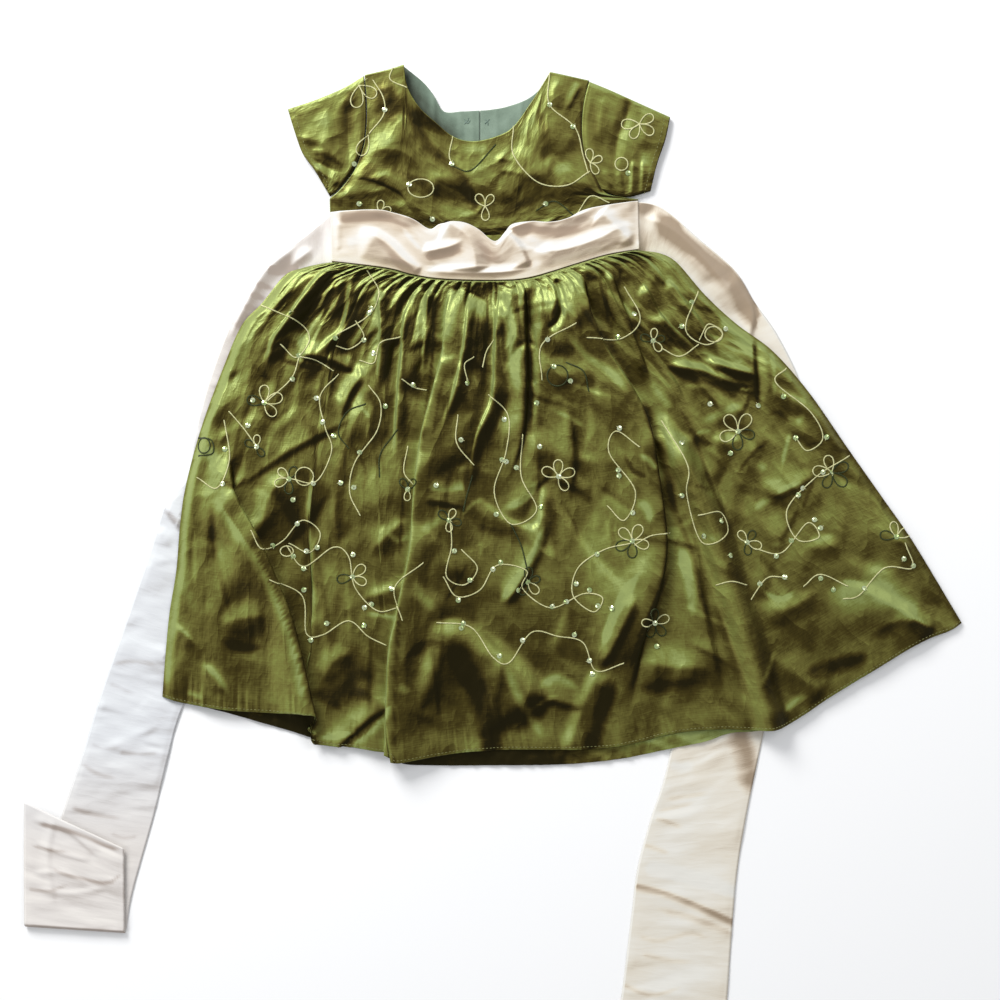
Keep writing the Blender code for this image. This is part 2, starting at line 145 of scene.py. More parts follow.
NECK_BACK_LEFT = [
    (-69.4, 381.4), (-54.2, 368.9), (-45.6, 358.0), (-38.2, 346.3), (-24.2, 346.3),
    (CENTRE_BACK - CENTRE_GAP, 347.0),
]
NECK_BACK_RIGHT = [
    (CENTRE_BACK + CENTRE_GAP, 347.0), (-3.1, 347.5), (10.1, 349.8), (27.1, 356.1), (39.8, 366.9),
    (44.5, 376.7),
]
WAIST_MIDDLE = 214.9
BACK_SHOULDER = 0.25
BACK_TOP = 1.1
BODICE_WALL = 0.8
HALF_BACK_CUT = (0.13, 0.17)

# Roughly the side the key light comes from: cloth leaning towards it is painted brighter, cloth leaning
# away darker. Also the steepest lean that still changes its tone
LIT_SIDE = (-0.42, 0.90)
STEEPEST_LEAN = 0.16


def soft_line(points, shares):
    """The soft curve through these points, read at shares of its length from 0 to 1."""
    knots = np.array(points, float)
    run = np.vstack([2 * knots[0] - knots[1], knots, 2 * knots[-1] - knots[-2]])
    line = []
    for a, b, c, d in zip(run, run[1:], run[2:], run[3:]):
        for s in np.arange(8) / 8:
            bend = (2 * a - 5 * b + 4 * c - d) * s * s + (3 * b - a - 3 * c + d) * s ** 3
            line.append(0.5 * (2 * b + (c - a) * s + bend))
    line = np.array([*line, knots[-1]])
    length = np.concatenate([[0], np.cumsum(np.linalg.norm(np.diff(line, axis=0), axis=1))])
    return np.stack([np.interp(shares, length / length[-1], axis) for axis in line.T], -1)


def outline(line, shares):
    """Points along an edge: one list of points, or rows of the share where each stretch ends."""
    if not isinstance(line[0][1], list):
        return soft_line(line, shares)
    found = np.zeros((len(shares), 2))
    start = 0.0
    for stop, points in line:
        here = (shares >= start - 1e-9) & (shares <= stop + 1e-9)
        found[here] = soft_line(points, np.clip((shares[here] - start) / (stop - start), 0, 1))
        start = stop
    return found


def panel(near, far, left, right, across, along):
    """Points of a panel between its four outlines, one row for each share along."""
    ends = np.array([0.0, 1.0])
    (a, b), (c, d) = outline(near, ends), outline(far, ends)
    near, far = outline(near, across)[None], outline(far, across)[None]
    left, right = outline(left, along)[:, None], outline(right, along)[:, None]
    u, v = across[None, :, None], along[:, None, None]
    corners = (a * (1 - u) + b * u) * (1 - v) + (c * (1 - u) + d * u) * v
    return near * (1 - v) + far * v + left * (1 - u) + right * u - corners


def soften(field, times):
    """Rounds off the creases of a height field over a grid."""
    for _ in range(times):
        for axis in (0, 1):
            wide = np.concatenate([field.take([0], axis), field, field.take([-1], axis)], axis)
            count = field.shape[axis]
            before = wide.take(range(0, count), axis)
            after = wide.take(range(2, count + 2), axis)
            field = 0.5 * field + 0.25 * (before + after)
    return field


def painted_lean_of(points):
    """Painted shade: how far the large form, without its small creases, leans towards the lit side."""
    broad = points.copy()
    broad[..., 2] = soften(points[..., 2], 10)
    facing = np.cross(np.gradient(broad, axis=1), np.gradient(broad, axis=0))
    facing *= np.sign(facing[..., 2:])
    facing /= np.maximum(np.linalg.norm(facing, axis=-1), 1e-9)[..., None]
    return np.clip(facing[..., :2] @ LIT_SIDE, -STEEPEST_LEAN, STEEPEST_LEAN)


def add_wall(piece, wall):
    """Gives a sheet its thickness, inwards from the face that shows."""
    thicken = piece.modifiers.new("wall", "SOLIDIFY")
    thicken.thickness = wall * MM
    thicken.offset = -1.0


def cloth_piece(name, points, material, cloth_size, wall=0.0, tone_and_painted_light=0.0):
    """A sheet through a grid of points in millimetres, with a UV map in metres of cloth."""
    rows, columns = points.shape[:2]
    number = np.arange(rows * columns).reshape(rows, columns)
    corners = [number[:-1, :-1], number[:-1, 1:], number[1:, 1:], number[1:, :-1]]
    spans = points[1:, :-1] - points[:-1, :-1], points[:-1, 1:] - points[:-1, :-1]
    if np.cross(spans[1][..., :2], spans[0][..., :2]).sum() < 0:
        corners = corners[::-1]
    faces = np.stack(corners, -1).reshape(-1, 4)
    mesh = bpy.data.meshes.new(name)
    mesh.from_pydata((points.reshape(-1, 3) * MM).tolist(), [], faces.tolist())
    layer = mesh.uv_layers.new(name="cloth")
    share_u = np.linspace(0, cloth_size[0], columns)
    share_v = np.linspace(cloth_size[1], 0, rows)
    spots = np.stack(np.meshgrid(share_u, share_v), -1).reshape(-1, 2)
    layer.data.foreach_set("uv", spots[faces.reshape(-1)].astype(np.float32).reshape(-1))
    # Painted shade and highlights: the large form's lean towards the lit side, plus the piece's own tone
    # and painted light
    tones_and_painted_lights = (painted_lean_of(points) + tone_and_painted_light).astype(np.float32)
    mesh.attributes.new("tone_and_painted_light", "FLOAT", "POINT").data.foreach_set("value", tones_and_painted_lights.reshape(-1))
    mesh.shade_smooth()
    mesh.materials.append(material)
    piece = bpy.data.objects.new(name, mesh)
    collection.objects.link(piece)
    if wall:
        add_wall(piece, wall)
    return piece


class Nodes:
    """A new material, with nodes that are added and linked by name."""

    def __init__(self, name):
        self.material = bpy.data.materials.new(name)
        self.material.use_nodes = True
        self.tree = self.material.node_tree
        self.shader = self.tree.nodes["Principled BSDF"]

    def add(self, kind, inputs=(), **settings):
        node = self.tree.nodes.new(kind)
        for key, value in settings.items():
            setattr(node, key, value)
        for key, value in dict(inputs).items():
            if isinstance(value, bpy.types.NodeSocket):
                self.tree.links.new(value, node.inputs[key])
            else:
                node.inputs[key].default_value = value
        return node

    def math(self, operation, *values):
        return self.add("ShaderNodeMath", enumerate(values), operation=operation).outputs["Value"]

    def noise(self, place, scale, detail=3.0, stretch=(1.0, 1.0, 1.0)):
        placed = self.add("ShaderNodeMapping", {"Vector": place, "Scale": stretch}).outputs["Vector"]
        inputs = {"Vector": placed, "Scale": scale, "Detail": detail}
        return self.add("ShaderNodeTexNoise", inputs).outputs["Fac"]

    def cloth_place(self):
        """The place on the flat cloth, in metres, from the piece's UV map."""
        return self.add("ShaderNodeTexCoord").outputs["UV"]

    def tone_and_painted_light(self):
        """The piece's own tone and painted light, from its attribute."""
        return self.add("ShaderNodeAttribute", attribute_name="tone_and_painted_light").outputs["Fac"]

    def weave(self, place, coarse, fine, detail):
        """Threads both ways: one noise drawn out along the cloth and one across it."""
        weft = self.noise(place, 1.0, detail, (coarse, fine, 1.0))
        warp = self.noise(place, 1.0, detail, (fine, coarse, 1.0))
        return self.math("ADD", weft, warp)

    def lean(self, facing):
        """How far the cloth leans towards the lit side, from -1 to 1, for painted shade and highlights."""
        inputs = {0: facing, 1: (*LIT_SIDE, 0.0)}
        return self.add("ShaderNodeVectorMath", inputs, operation="DOT_PRODUCT").outputs["Value"]

    def ridges(self, place, stretch, detail):
        """Sharp winding lines at 0, with rounded cloth between them."""
        wave = self.noise(place, 1.0, detail, stretch)
        return self.math("ABSOLUTE", self.math("SUBTRACT", wave, 0.5))

    def ramp(self, value, stops):
        node = self.add("ShaderNodeValToRGB", {"Fac": value})
        points = node.color_ramp.elements
        while len(points) < len(stops):
            points.new(0.5)
        for point, (place, colour) in zip(points, stops):
            point.position = place
            point.color = (*colour, 1.0)
        return node.outputs["Color"]

    def tinted(self, colour, tint, share):
        """The colour multiplied by a tint, as far as the share says."""
        inputs = {0: share, 6: colour, 7: (*tint, 1.0)}
        return self.add("ShaderNodeMix", inputs, data_type="RGBA", blend_type="MULTIPLY").outputs[2]

    def bump(self, height, strength, depth):
        inputs = {"Height": height, "Strength": strength, "Distance": depth}
        return self.add("ShaderNodeBump", inputs).outputs["Normal"]

    def finish(self, colour, normal, roughness, metallic, sheen):
        self.tree.links.new(colour, self.shader.inputs["Base Color"])
        self.tree.links.new(normal, self.shader.inputs["Normal"])
        self.shader.inputs["Roughness"].default_value = roughness
        self.shader.inputs["Metallic"].default_value = metallic
        self.shader.inputs["Sheen Weight"].default_value = sheen
        return self.material


BROAD_CREASE = 3.6
CLOSE_CREASE = 0.8
SLUB = 0.08
# Tones from the deepest painted shade to the brightest painted highlight
TAFFETA_TONES = [
    (0.00, (0.013, 0.009, 0.002)), (0.10, (0.024, 0.016, 0.003)), (0.32, (0.058, 0.043, 0.008)),
    (0.54, (0.130, 0.117, 0.027)), (0.78, (0.188, 0.208, 0.050)), (1.00, (0.265, 0.315, 0.105)),
]


def taffeta(name):
    """Shot taffeta, brown one way and yellow-green the other, used as painted shade: browner where the
    cloth leans away from the lit side, greener and brighter where it leans towards it, plus the piece's
    painted light.
    """
    nodes = Nodes(name)
    spot = nodes.cloth_place()
    slub = nodes.weave(spot, 60.0, 900.0, 3.0)
    broad = nodes.ridges(spot, (30.0, 22.0, 1.0), 1.5)
    close = nodes.ridges(spot, (85.0, 70.0, 1.0), 2.0)
    sunk = nodes.math("MULTIPLY", close, -CLOSE_CREASE)
    height = nodes.math("MULTIPLY_ADD", broad, -BROAD_CREASE, sunk)
    creased = nodes.bump(nodes.math("MULTIPLY_ADD", slub, SLUB, height), 1.0, MM)
    cloud = nodes.noise(spot, 26.0, 4.0)
    patchy = nodes.math("MULTIPLY", nodes.tone_and_painted_light(), nodes.math("MULTIPLY_ADD", cloud, 1.6, 0.2))
    shift = nodes.math("MULTIPLY_ADD", nodes.lean(creased), 1.2, nodes.math("ADD", patchy, 0.27))
    cloudy = nodes.math("MULTIPLY_ADD", cloud, 0.22, shift)
    mixed = nodes.math("MULTIPLY_ADD", slub, 0.12, cloudy)
    nodes.shader.inputs["Specular IOR Level"].default_value = 0.25
    nodes.shader.inputs["Specular Tint"].default_value = (0.85, 0.85, 0.45, 1.0)
    return nodes.finish(nodes.ramp(mixed, TAFFETA_TONES), creased, 0.44, 0.40, 0.0)


def half_back(side, bottom, foot, neck, shoulder, outer):
    """The lower, upper, left and right edge of one half of the back, with its foot at the centre."""
    if side < 0:
        return [*bottom, foot], [(BACK_SHOULDER, shoulder), (1.0, neck)], outer, [foot, neck[-1]]
    return [foot, *bottom], [(1 - BACK_SHOULDER, neck), (1.0, shoulder)], [foot, neck[0]], outer


green_taffeta = taffeta("green_taffeta")

for side_name, side, neck, shoulder, outer in (
    ("left", -1, NECK_BACK_LEFT, SHOULDER_LEFT, SIDE_LEFT),
    ("right", 1, NECK_BACK_RIGHT, SHOULDER_RIGHT, SIDE_RIGHT),
):
    foot = (CENTRE_BACK + side * CENTRE_GAP, WAIST_MIDDLE)
    waist = [point for point in WAIST if side * (point[0] - CENTRE_BACK) > 0]
    edges = half_back(side, waist, foot, neck, shoulder, outer)
    back_xy = panel(*edges, np.linspace(0, 1, 41), np.linspace(0, 1, 61))
    ripple = 0.08 * np.sin(back_xy[..., 0] / 9.0) * np.sin(back_xy[..., 1] / 13.0)
    points = np.dstack([back_xy, BACK_TOP + ripple])
    back = cloth_piece(f"bodice_back_{side_name}_cloth", points, green_taffeta, HALF_BACK_CUT, BODICE_WALL)
    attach(back, "root")
    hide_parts(f"bodice_back_{side_name}")

# Lining of the bodice back
# Cool grey-green cotton, seen through the neck: its two edges meet at the centre back, where
# the threads of a button show on one side and those of its loop on the other.
LINING_FOOT = 298.3
LINING_MIDDLE = 296.0
LINING_TOP = 2.4
LINING_WALL = 0.6
HALF_LINING_CUT = (0.12, 0.085)
LINING_TONES = [
    (0.0, (0.030, 0.042, 0.022)), (0.30, (0.115, 0.165, 0.118)), (0.70, (0.225, 0.305, 0.230)),
]

# Upright pleats: x and height
LINING_PLEATS = [(-25.0, 0.5), (-15.5, 0.4), (3.0, 0.35), (22.0, 0.4), (-46.0, 0.6)]
PLEAT_WIDTH = 1.8

# Painted shadow on the lining below the left edge of the neck
LINING_DARK_EDGE = [(-68.0, 376.0), (-62.0, 356.0), (-50.0, 340.0), (-36.0, 329.0)]
LINING_DARK_REACH = 15.0
LINING_DARKEST = -0.55


def cotton(name):
    """Plain-weave cotton with soft unevenness in its dye, darkened by the piece's painted shade."""
    nodes = Nodes(name)
    spot = nodes.cloth_place()
    weave = nodes.weave(spot, 250.0, 2200.0, 2.0)
    shade = nodes.math("MULTIPLY_ADD", weave, 0.15, nodes.tone_and_painted_light())
    tone = nodes.math("MULTIPLY_ADD", nodes.noise(spot, 40.0, 4.0), 0.7, shade)
    return nodes.finish(nodes.ramp(tone, LINING_TONES), nodes.bump(weave, 0.35, 0.3 * MM), 0.75, 0.0, 0.2)


back_lining = cotton("back_lining")

for side_name, side, neck, shoulder, armhole in (
    ("left", -1, NECK_BACK_LEFT, SHOULDER_LEFT, ARMHOLE_LEFT),
    ("right", 1, NECK_BACK_RIGHT, SHOULDER_RIGHT, ARMHOLE_RIGHT),
):
    foot = (CENTRE_BACK + side * CENTRE_GAP, LINING_MIDDLE)
    outer = [point for point in armhole if point[1] >= LINING_FOOT]
    edges = half_back(side, outer[:1], foot, neck, shoulder, outer)
    lining_xy = panel(*edges, np.linspace(0, 1, 81), np.linspace(0, 1, 61))
    rise = np.full(lining_xy.shape[:-1], LINING_TOP)
    for x, height in LINING_PLEATS:
        rise += height * np.exp(-(((lining_xy[..., 0] - x) / PLEAT_WIDTH) ** 2))
    points = np.dstack([lining_xy, rise])
    dark_edge = soft_line(LINING_DARK_EDGE, np.linspace(0, 1, 40))
    away = np.linalg.norm(lining_xy[:, :, None] - dark_edge, axis=-1).min(-1) / LINING_DARK_REACH
    shade = LINING_DARKEST * np.clip(1 - away, 0, 1) ** 0.8
    lining = cloth_piece(
        f"back_lining_{side_name}_cloth", points, back_lining, HALF_LINING_CUT, LINING_WALL, shade
    )
    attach(lining, "root")
    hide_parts(f"back_lining_{side_name}")

# Bodice front
# One panel of embroidered taffeta with a round neck, which lies on the back and its lining. It
# creases from the underarms towards the middle and below the shoulder seams.
NECK_FRONT = [
    (-69.4, 381.4), (-66.3, 363.5), (-56.9, 347.9), (-44.5, 337.0), (-30.4, 326.3),
    (-15.6, 322.9), (1.6, 326.3), (15.6, 333.8), (28.9, 351.8), (39.8, 368.9), (44.5, 376.7),
]
FRONT_SHOULDER = 0.125
BODICE_TOP = [(FRONT_SHOULDER, SHOULDER_LEFT), (1 - FRONT_SHOULDER, NECK_FRONT), (1.0, SHOULDER_RIGHT)]
BODICE_SPAN = (240, 160)
BODICE_CUT = (0.25, 0.17)

# Folds: path in millimetres, height, fall on the side to the right of the path's course, fall on
# its left, shares of the path over which it rises and dies away, and how far it laps over. The
# last three are those of PLAIN_FOLD where a row leaves them out
PLAIN_FOLD = (0.3, 0.3, 0)
BODICE_FOLDS = [
    ([(-112, 296), (-97, 295), (-83, 290), (-70, 283), (-64, 274), (-58, 264)], 3.4, 5, 13, 0.15, 0.2, 3),
    ([(-101, 311), (-85, 316), (-70, 314), (-61, 307), (-49, 296)], 5.0, 13, 22, 0.3, 0.4),
    ([(-77, 345), (-67, 330), (-62, 315)], 3.8, 20, 9, 0.3, 0.4),
    ([(-93, 366), (-88, 349)], 1.3, 4, 5, 0.3, 0.4),
    ([(-85, 369), (-80, 351)], 1.2, 4, 5, 0.3, 0.4),
    ([(-107, 295), (-97, 279)], 2.0, 5, 6, 0.2, 0.4),
    ([(-114, 289), (-110, 270)], 2.0, 5, 5, 0.2),
    ([(-49, 293), (-35, 287), (-22, 280), (-10, 271)], -2.6, 9, 9),
    ([(-25, 322), (-25, 306)], 1.3, 5, 4, 0.2, 0.4),
    ([(-15, 322), (-12, 308)], 1.0, 4, 4, 0.2, 0.4),
    ([(-4, 324), (-8, 311)], 1.0, 4, 4, 0.2, 0.4),
    ([(1, 310), (17, 307)], 1.6, 3, 5),
    ([(4, 300), (25, 297)], 1.6, 3, 5),
    ([(2, 285), (12, 284), (20, 277)], 3.0, 16, 14, 0.3, 0.4),
    ([(16, 318), (28, 306), (38, 290)], 3.6, 14, 12),
    ([(72, 367), (66, 364), (60, 352), (56, 346)], 2.8, 5, 4, 0.2, 0.3, 1),
    ([(51, 371), (47, 358), (54, 346)], 2.4, 5, 6, 0.2),
    ([(84, 285), (70, 290), (52, 288), (38, 279)], 2.2, 12, 9, 0.2, 0.4),
    ([(62, 330), (58, 316), (64, 302)], 2.2, 10, 8, 0.3, 0.4),
]

NECK_STAND = [([(-70, 384), (-64, 362), (-56, 348), (-44, 337), (-30, 327)], 5, 13, 6, 0.0, 0.5)]

# Painted highlights (above 0) and painted shade (below 0) in streaks and patches, with the same columns as
# the folds, and what one step of them adds to the tone
BODICE_TONE = 0.013
BODICE_PAINTED_LIGHT = [
    ([(-112, 318), (-101, 305), (-91, 290)], -26, 10, 10),
    ([(-94, 368), (-82, 356), (-76, 334)], -32, 17, 17, 0.2),
    ([(-115, 309), (-110, 293), (-112, 278)], -14, 12.5, 12.5, 0.2, 0.2),
    ([(-93, 326), (-79, 321), (-69, 312)], 20, 9.4, 9.4),
    ([(-111, 293), (-105, 304), (-89, 309), (-76, 315)], 18, 4.7, 3, 0.2),
    ([(-78, 373), (-71, 356)], 10, 6, 6),
    ([(-119, 278), (-101, 288), (-79, 284)], 16, 6, 6),
    ([(-79, 276), (-58, 268)], 15, 4.7, 4.7),
    ([(-44, 273), (-26, 268), (-11, 264)], 16, 5.5, 5.5),
    ([(-27, 315), (-15, 318), (-2, 314)], 18, 7, 7),
    ([(-22, 293), (-5, 296), (12, 289)], 15, 7, 7),
    ([(15, 324), (27, 334), (37, 346)], 16, 4.7, 6),
    ([(43, 298), (54, 301), (64, 307)], 20, 6, 7),
    ([(55, 354), (62, 362), (66, 371)], 22, 4.7, 4.7, 0.3, 0.2),
    ([(39, 267), (50, 271), (61, 268)], 18, 6, 6),
    ([(-64, 353), (-57, 331), (-43, 313), (-24, 296), (-10, 264)], -30, 10, 4.7, 0.1, 0.1),
    ([(-85, 303), (-65, 295), (-43, 287)], -22, 6, 5.5, 0.2),
    ([(-99, 359), (-99, 320), (-117, 284)], -26, 1.6, 1.6, 0.0, 0.0),
    ([(-127, 278), (-115, 274)], -20, 6, 4.7, 0.2),
    ([(35, 349), (41, 324), (37, 300)], -20, 6, 6, 0.2),
    ([(5, 263), (21, 274), (38, 278)], -26, 6, 4.7, 0.2),
    ([(69, 353), (70, 317), (84, 284)], -26, 1.6, 2.3, 0.0, 0.0),
    ([(76, 281), (93, 278), (112, 278)], -20, 3, 3, 0.2, 0.2),
]


DOWN = Vector((0, 0, -1))
RAY_FROM = 500.0


def ray_ground(piece):
    """A tree that finds the height of a piece, in millimetres, under a place."""
    return BVHTree.FromPolygons(
        [vertex.co / MM for vertex in piece.data.vertices],
        [tuple(face.vertices) for face in piece.data.polygons],
    )


def heights_on(ground, xy, missing=0.0):
    """Height of the ground straight below each place."""
    found = []
    for x, y in xy.reshape(-1, 2):
        hit = ground.ray_cast(Vector((x, y, RAY_FROM)), DOWN)[0]
        found.append(missing if hit is None else hit.z)
    return np.array(found).reshape(xy.shape[:-1])


def smooth(t):
    """Rises softly from 0 to 1 while t does."""
    t = np.clip(t, 0, 1)
    return t * t * (3 - 2 * t)


ROUND_FROM = 7.0


def lay_fold(xy, fold):
    """How far one fold lifts each point, and how far it slides it sideways. High folds are round."""
    path, height, right, left, *ends = fold
    start, stop, lap = (*ends, *PLAIN_FOLD[len(ends):])
    line = soft_line(path, np.linspace(0, 1, 3 * len(path)))
    reach = 1.5 * max(right, left)
    inside = ((xy > line.min(0) - reach) & (xy < line.max(0) + reach)).all(-1)
    rows, columns = np.flatnonzero(inside.any(1)), np.flatnonzero(inside.any(0))
    if not len(rows):
        return np.zeros(xy.shape[:-1]), np.zeros_like(xy)
    window = np.s_[rows[0]:rows[-1] + 1, columns[0]:columns[-1] + 1]
    whole, xy = xy, xy[window]
    best = np.full(xy.shape[:-1], 1e9)
    offset, share = np.zeros_like(best), np.zeros_like(best)
    heading = np.zeros_like(xy)
    total = len(line) - 1
    for i, (a, b) in enumerate(zip(line, line[1:])):
        run = b - a
        length = np.linalg.norm(run)
        run = run / length
        away = xy - a
        t = np.clip(away @ run, 0, length)
        distance = np.linalg.norm(away - t[..., None] * run, axis=-1)
        nearer = distance < best
        side = np.sign(run[0] * away[..., 1] - run[1] * away[..., 0])
        best = np.where(nearer, distance, best)
        offset = np.where(nearer, distance * side, offset)
        share = np.where(nearer, (i + t / length) / total, share)
        heading[nearer] = (-run[1], run[0])
    fade = 1.0
    if start:
        fade = fade * smooth(share / start)
    if stop:
        fade = fade * smooth((1 - share) / stop)

    # The crest is part sharp and part round, and narrows towards both ends
    narrow = 0.35 + 0.65 * fade
    q = np.clip(np.where(offset < 0, -offset / right, offset / left) / narrow, 0, 1)
    crisp = 0.2 if abs(height) >= ROUND_FROM else 0.8
    lift = height * fade * (crisp * (1 - q) ** 1.6 + (1 - crisp) * (1 - q * q) ** 2)

    # The steeper side is drawn in under the crest
    width = left if left < right else -right
    e = np.clip((offset - width / 2) / (abs(width) * 0.9), -1, 1)
    slide = -lap * fade * e * (1 - e * e) ** 2
    all_lift, all_slide = np.zeros(whole.shape[:-1]), np.zeros_like(whole)
    all_lift[window], all_slide[window] = lift, slide[..., None] * heading
    return all_lift, all_slide


def lay_folds(xy, folds):
    """The lift and the slide of all the folds of a piece."""
    lift, slide = np.zeros(xy.shape[:-1]), np.zeros_like(xy)
    for fold in folds:
        up, over = lay_fold(xy, fold)
        lift += up
        slide += over
    return lift, slide


def crumple(u, v, width, length, spacing, height, seed):
    """Creases between flat facets, as in crushed taffeta: heights over a grid of facets."""
    random = np.random.default_rng(seed)
    columns, rows = int(width / spacing[0]) + 3, int(length / spacing[1]) + 3
    gx, gy = np.meshgrid(np.arange(columns, dtype=float), np.arange(rows, dtype=float))
    gx += random.uniform(-0.42, 0.42, gx.shape)
    gy += random.uniform(-0.42, 0.42, gy.shape)
    gz = random.uniform(-1, 1, gx.shape)
    knots = np.stack([gx * spacing[0], gy * spacing[1], gz * height], -1).reshape(-1, 3)
    facets = []
    for row in range(rows - 1):
        for column in range(columns - 1):
            a = row * columns + column
            b, c, d = a + 1, a + columns + 1, a + columns
            if random.random() < 0.5:
                facets += [(a, b, c), (a, c, d)]
            else:
                facets += [(a, b, d), (b, c, d)]
    ground = BVHTree.FromPolygons(knots.tolist(), facets)
    places = np.stack([u * width + 0.8 * spacing[0], v * length + 0.8 * spacing[1]], -1)
    return heights_on(ground, places)


across, along = np.linspace(0, 1, 241), np.linspace(0, 1, 161)
u, v = np.meshgrid(across, along)
bodice_xy = panel(WAIST, BODICE_TOP, SIDE_LEFT, SIDE_RIGHT, across, along)

# It lies as the solid does, with the solid's creases mostly smoothed away under its own
rest = soften(heights_on(ray_ground(frame["nodes"]["bodice_front"]), bodice_xy, missing=3.0), 8)
rest = 0.3 * rest + 0.7 * soften(rest, 120)
fold_lift, fold_slide = lay_folds(bodice_xy, BODICE_FOLDS)
crush = soften(crumple(u, v, *BODICE_SPAN, (26, 22), 1.0, 21), 3)
crush += soften(crumple(u, v, *BODICE_SPAN, (9, 8), 0.3, 22), 1)

# The cloth is free to lift except along its seams, where it is held
free = smooth(np.minimum(u, 1 - u) * BODICE_SPAN[0] / 9) * smooth((bodice_xy[..., 1] - 236) / 16)
free *= 0.25 + 0.75 * smooth((1 - v) / 0.10)
bodice_z = rest + np.maximum((0.32 * fold_lift + 0.9 * crush + 0.3) * free, -0.6)
bodice_z += lay_folds(bodice_xy, NECK_STAND)[0]
bodice_painted_light = BODICE_TONE * lay_folds(bodice_xy, BODICE_PAINTED_LIGHT)[0]
bodice_xy = bodice_xy + fold_slide * free[..., None]
bodice_front = cloth_piece(
    "bodice_front_cloth", np.dstack([bodice_xy, bodice_z]), green_taffeta, BODICE_CUT, BODICE_WALL,
    bodice_painted_light,
)
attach(bodice_front, "root")
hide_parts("bodice_front")

# Sleeves
# Two cap sleeves of the same taffeta, each a short tube that lies flattened with its fold along
# the top. A dark line at the armhole seam, the shadow of a gap deepened by painted shade, parts it from the
# bodice, and it puckers at the underarm.
SLEEVE_LEFT = {
    "armhole": [
        (-100.6, 375.0), (-99.2, 356.5), (-98.9, 339.3), (-101.1, 319.8),
        (-108.5, 300.7), (-119.4, 286.3), (-127.9, 279.3),
    ],
    "top": [(-100.6, 375.0), (-115.4, 366.0), (-137.0, 356.5), (-159.9, 348.7)],
    "cuff": [(-159.9, 348.7), (-154.4, 330.7), (-148.2, 313.6), (-139.6, 301.5), (-132.0, 289.0)],
    "underarm": [(-127.9, 279.3), (-132.0, 289.0)],
    "folds": [
        ([(-114, 356), (-113, 326), (-111, 302)], -2.6, 8, 10, 0.2),
        ([(-130, 350), (-128, 335), (-124, 318)], 1.6, 16, 9),
        ([(-152, 326), (-132, 320), (-119, 307)], 2.2, 5, 12, 0.2, 0.2, 1),
        ([(-142, 315), (-129, 313), (-117, 304)], 2.0, 4, 5, 0.2, 0.2),
        ([(-139, 303), (-129, 295), (-119, 289)], 2.4, 5, 5, 0.2, 0.2),
        ([(-141, 309), (-129, 303), (-116, 297)], -1.6, 3, 3, 0.2, 0.2),
    ],
    "tone_and_painted_light": [
        ([(-108, 363), (-112, 343), (-110, 323)], -28, 7, 5.5, 0.1),
        ([(-151, 332), (-136, 339), (-121, 334)], 14, 10, 10),
        ([(-140, 304), (-131, 309), (-115, 303)], -20, 3, 3),
        ([(-133, 293), (-122, 290)], 20, 3, 3),
    ],
}
SLEEVE_RIGHT = {
    "armhole": [
        (75.0, 370.5), (70.6, 351.8), (69.3, 332.7), (71.0, 315.2), (76.8, 297.8), (84.6, 282.8),
    ],
    "top": [(75.0, 370.5), (92.0, 363.5), (110.8, 354.9), (138.1, 342.4)],
    "cuff": [(138.1, 342.4), (134.2, 324.1), (127.6, 304.6), (122.5, 283.4)],
    "underarm": [(84.6, 282.8), (104.0, 278.6), (122.5, 283.4)],
    "folds": [
        ([(104, 361), (104, 341), (97, 326), (94, 297)], -2.4, 8, 8, 0.15),
        ([(88, 360), (84, 340), (84, 318)], 1.6, 9, 9),
        ([(118, 350), (119, 330), (112, 315)], 1.8, 10, 14),
        ([(109, 308), (108, 283)], 2.6, 3, 6, 0.2, 0.0, 1),
        ([(117, 309), (116, 284)], 2.0, 3, 5, 0.2, 0.0),
        ([(98, 300), (101, 284)], 1.6, 5, 3, 0.2, 0.0),
        ([(86, 300), (92, 286)], 1.4, 4, 4, 0.2, 0.2),
    ],
    "tone_and_painted_light": [
        ([(77, 356), (79, 332), (83, 309)], -14, 6, 7, 0.2),
        ([(107, 367), (105, 353), (101, 339)], -26, 4.7, 4.7, 0.1),
        ([(91, 348), (93, 332)], 10, 6, 6),
        ([(115, 317), (122, 301)], 12, 7, 6),
    ],
}
SLEEVE_HEIGHT = 2.4
SLEEVE_WALL = 0.6
SLEEVE_EDGE = 0.012
SLEEVE_SPAN = (150, 60)
SLEEVE_CUT = (0.195, 0.066)


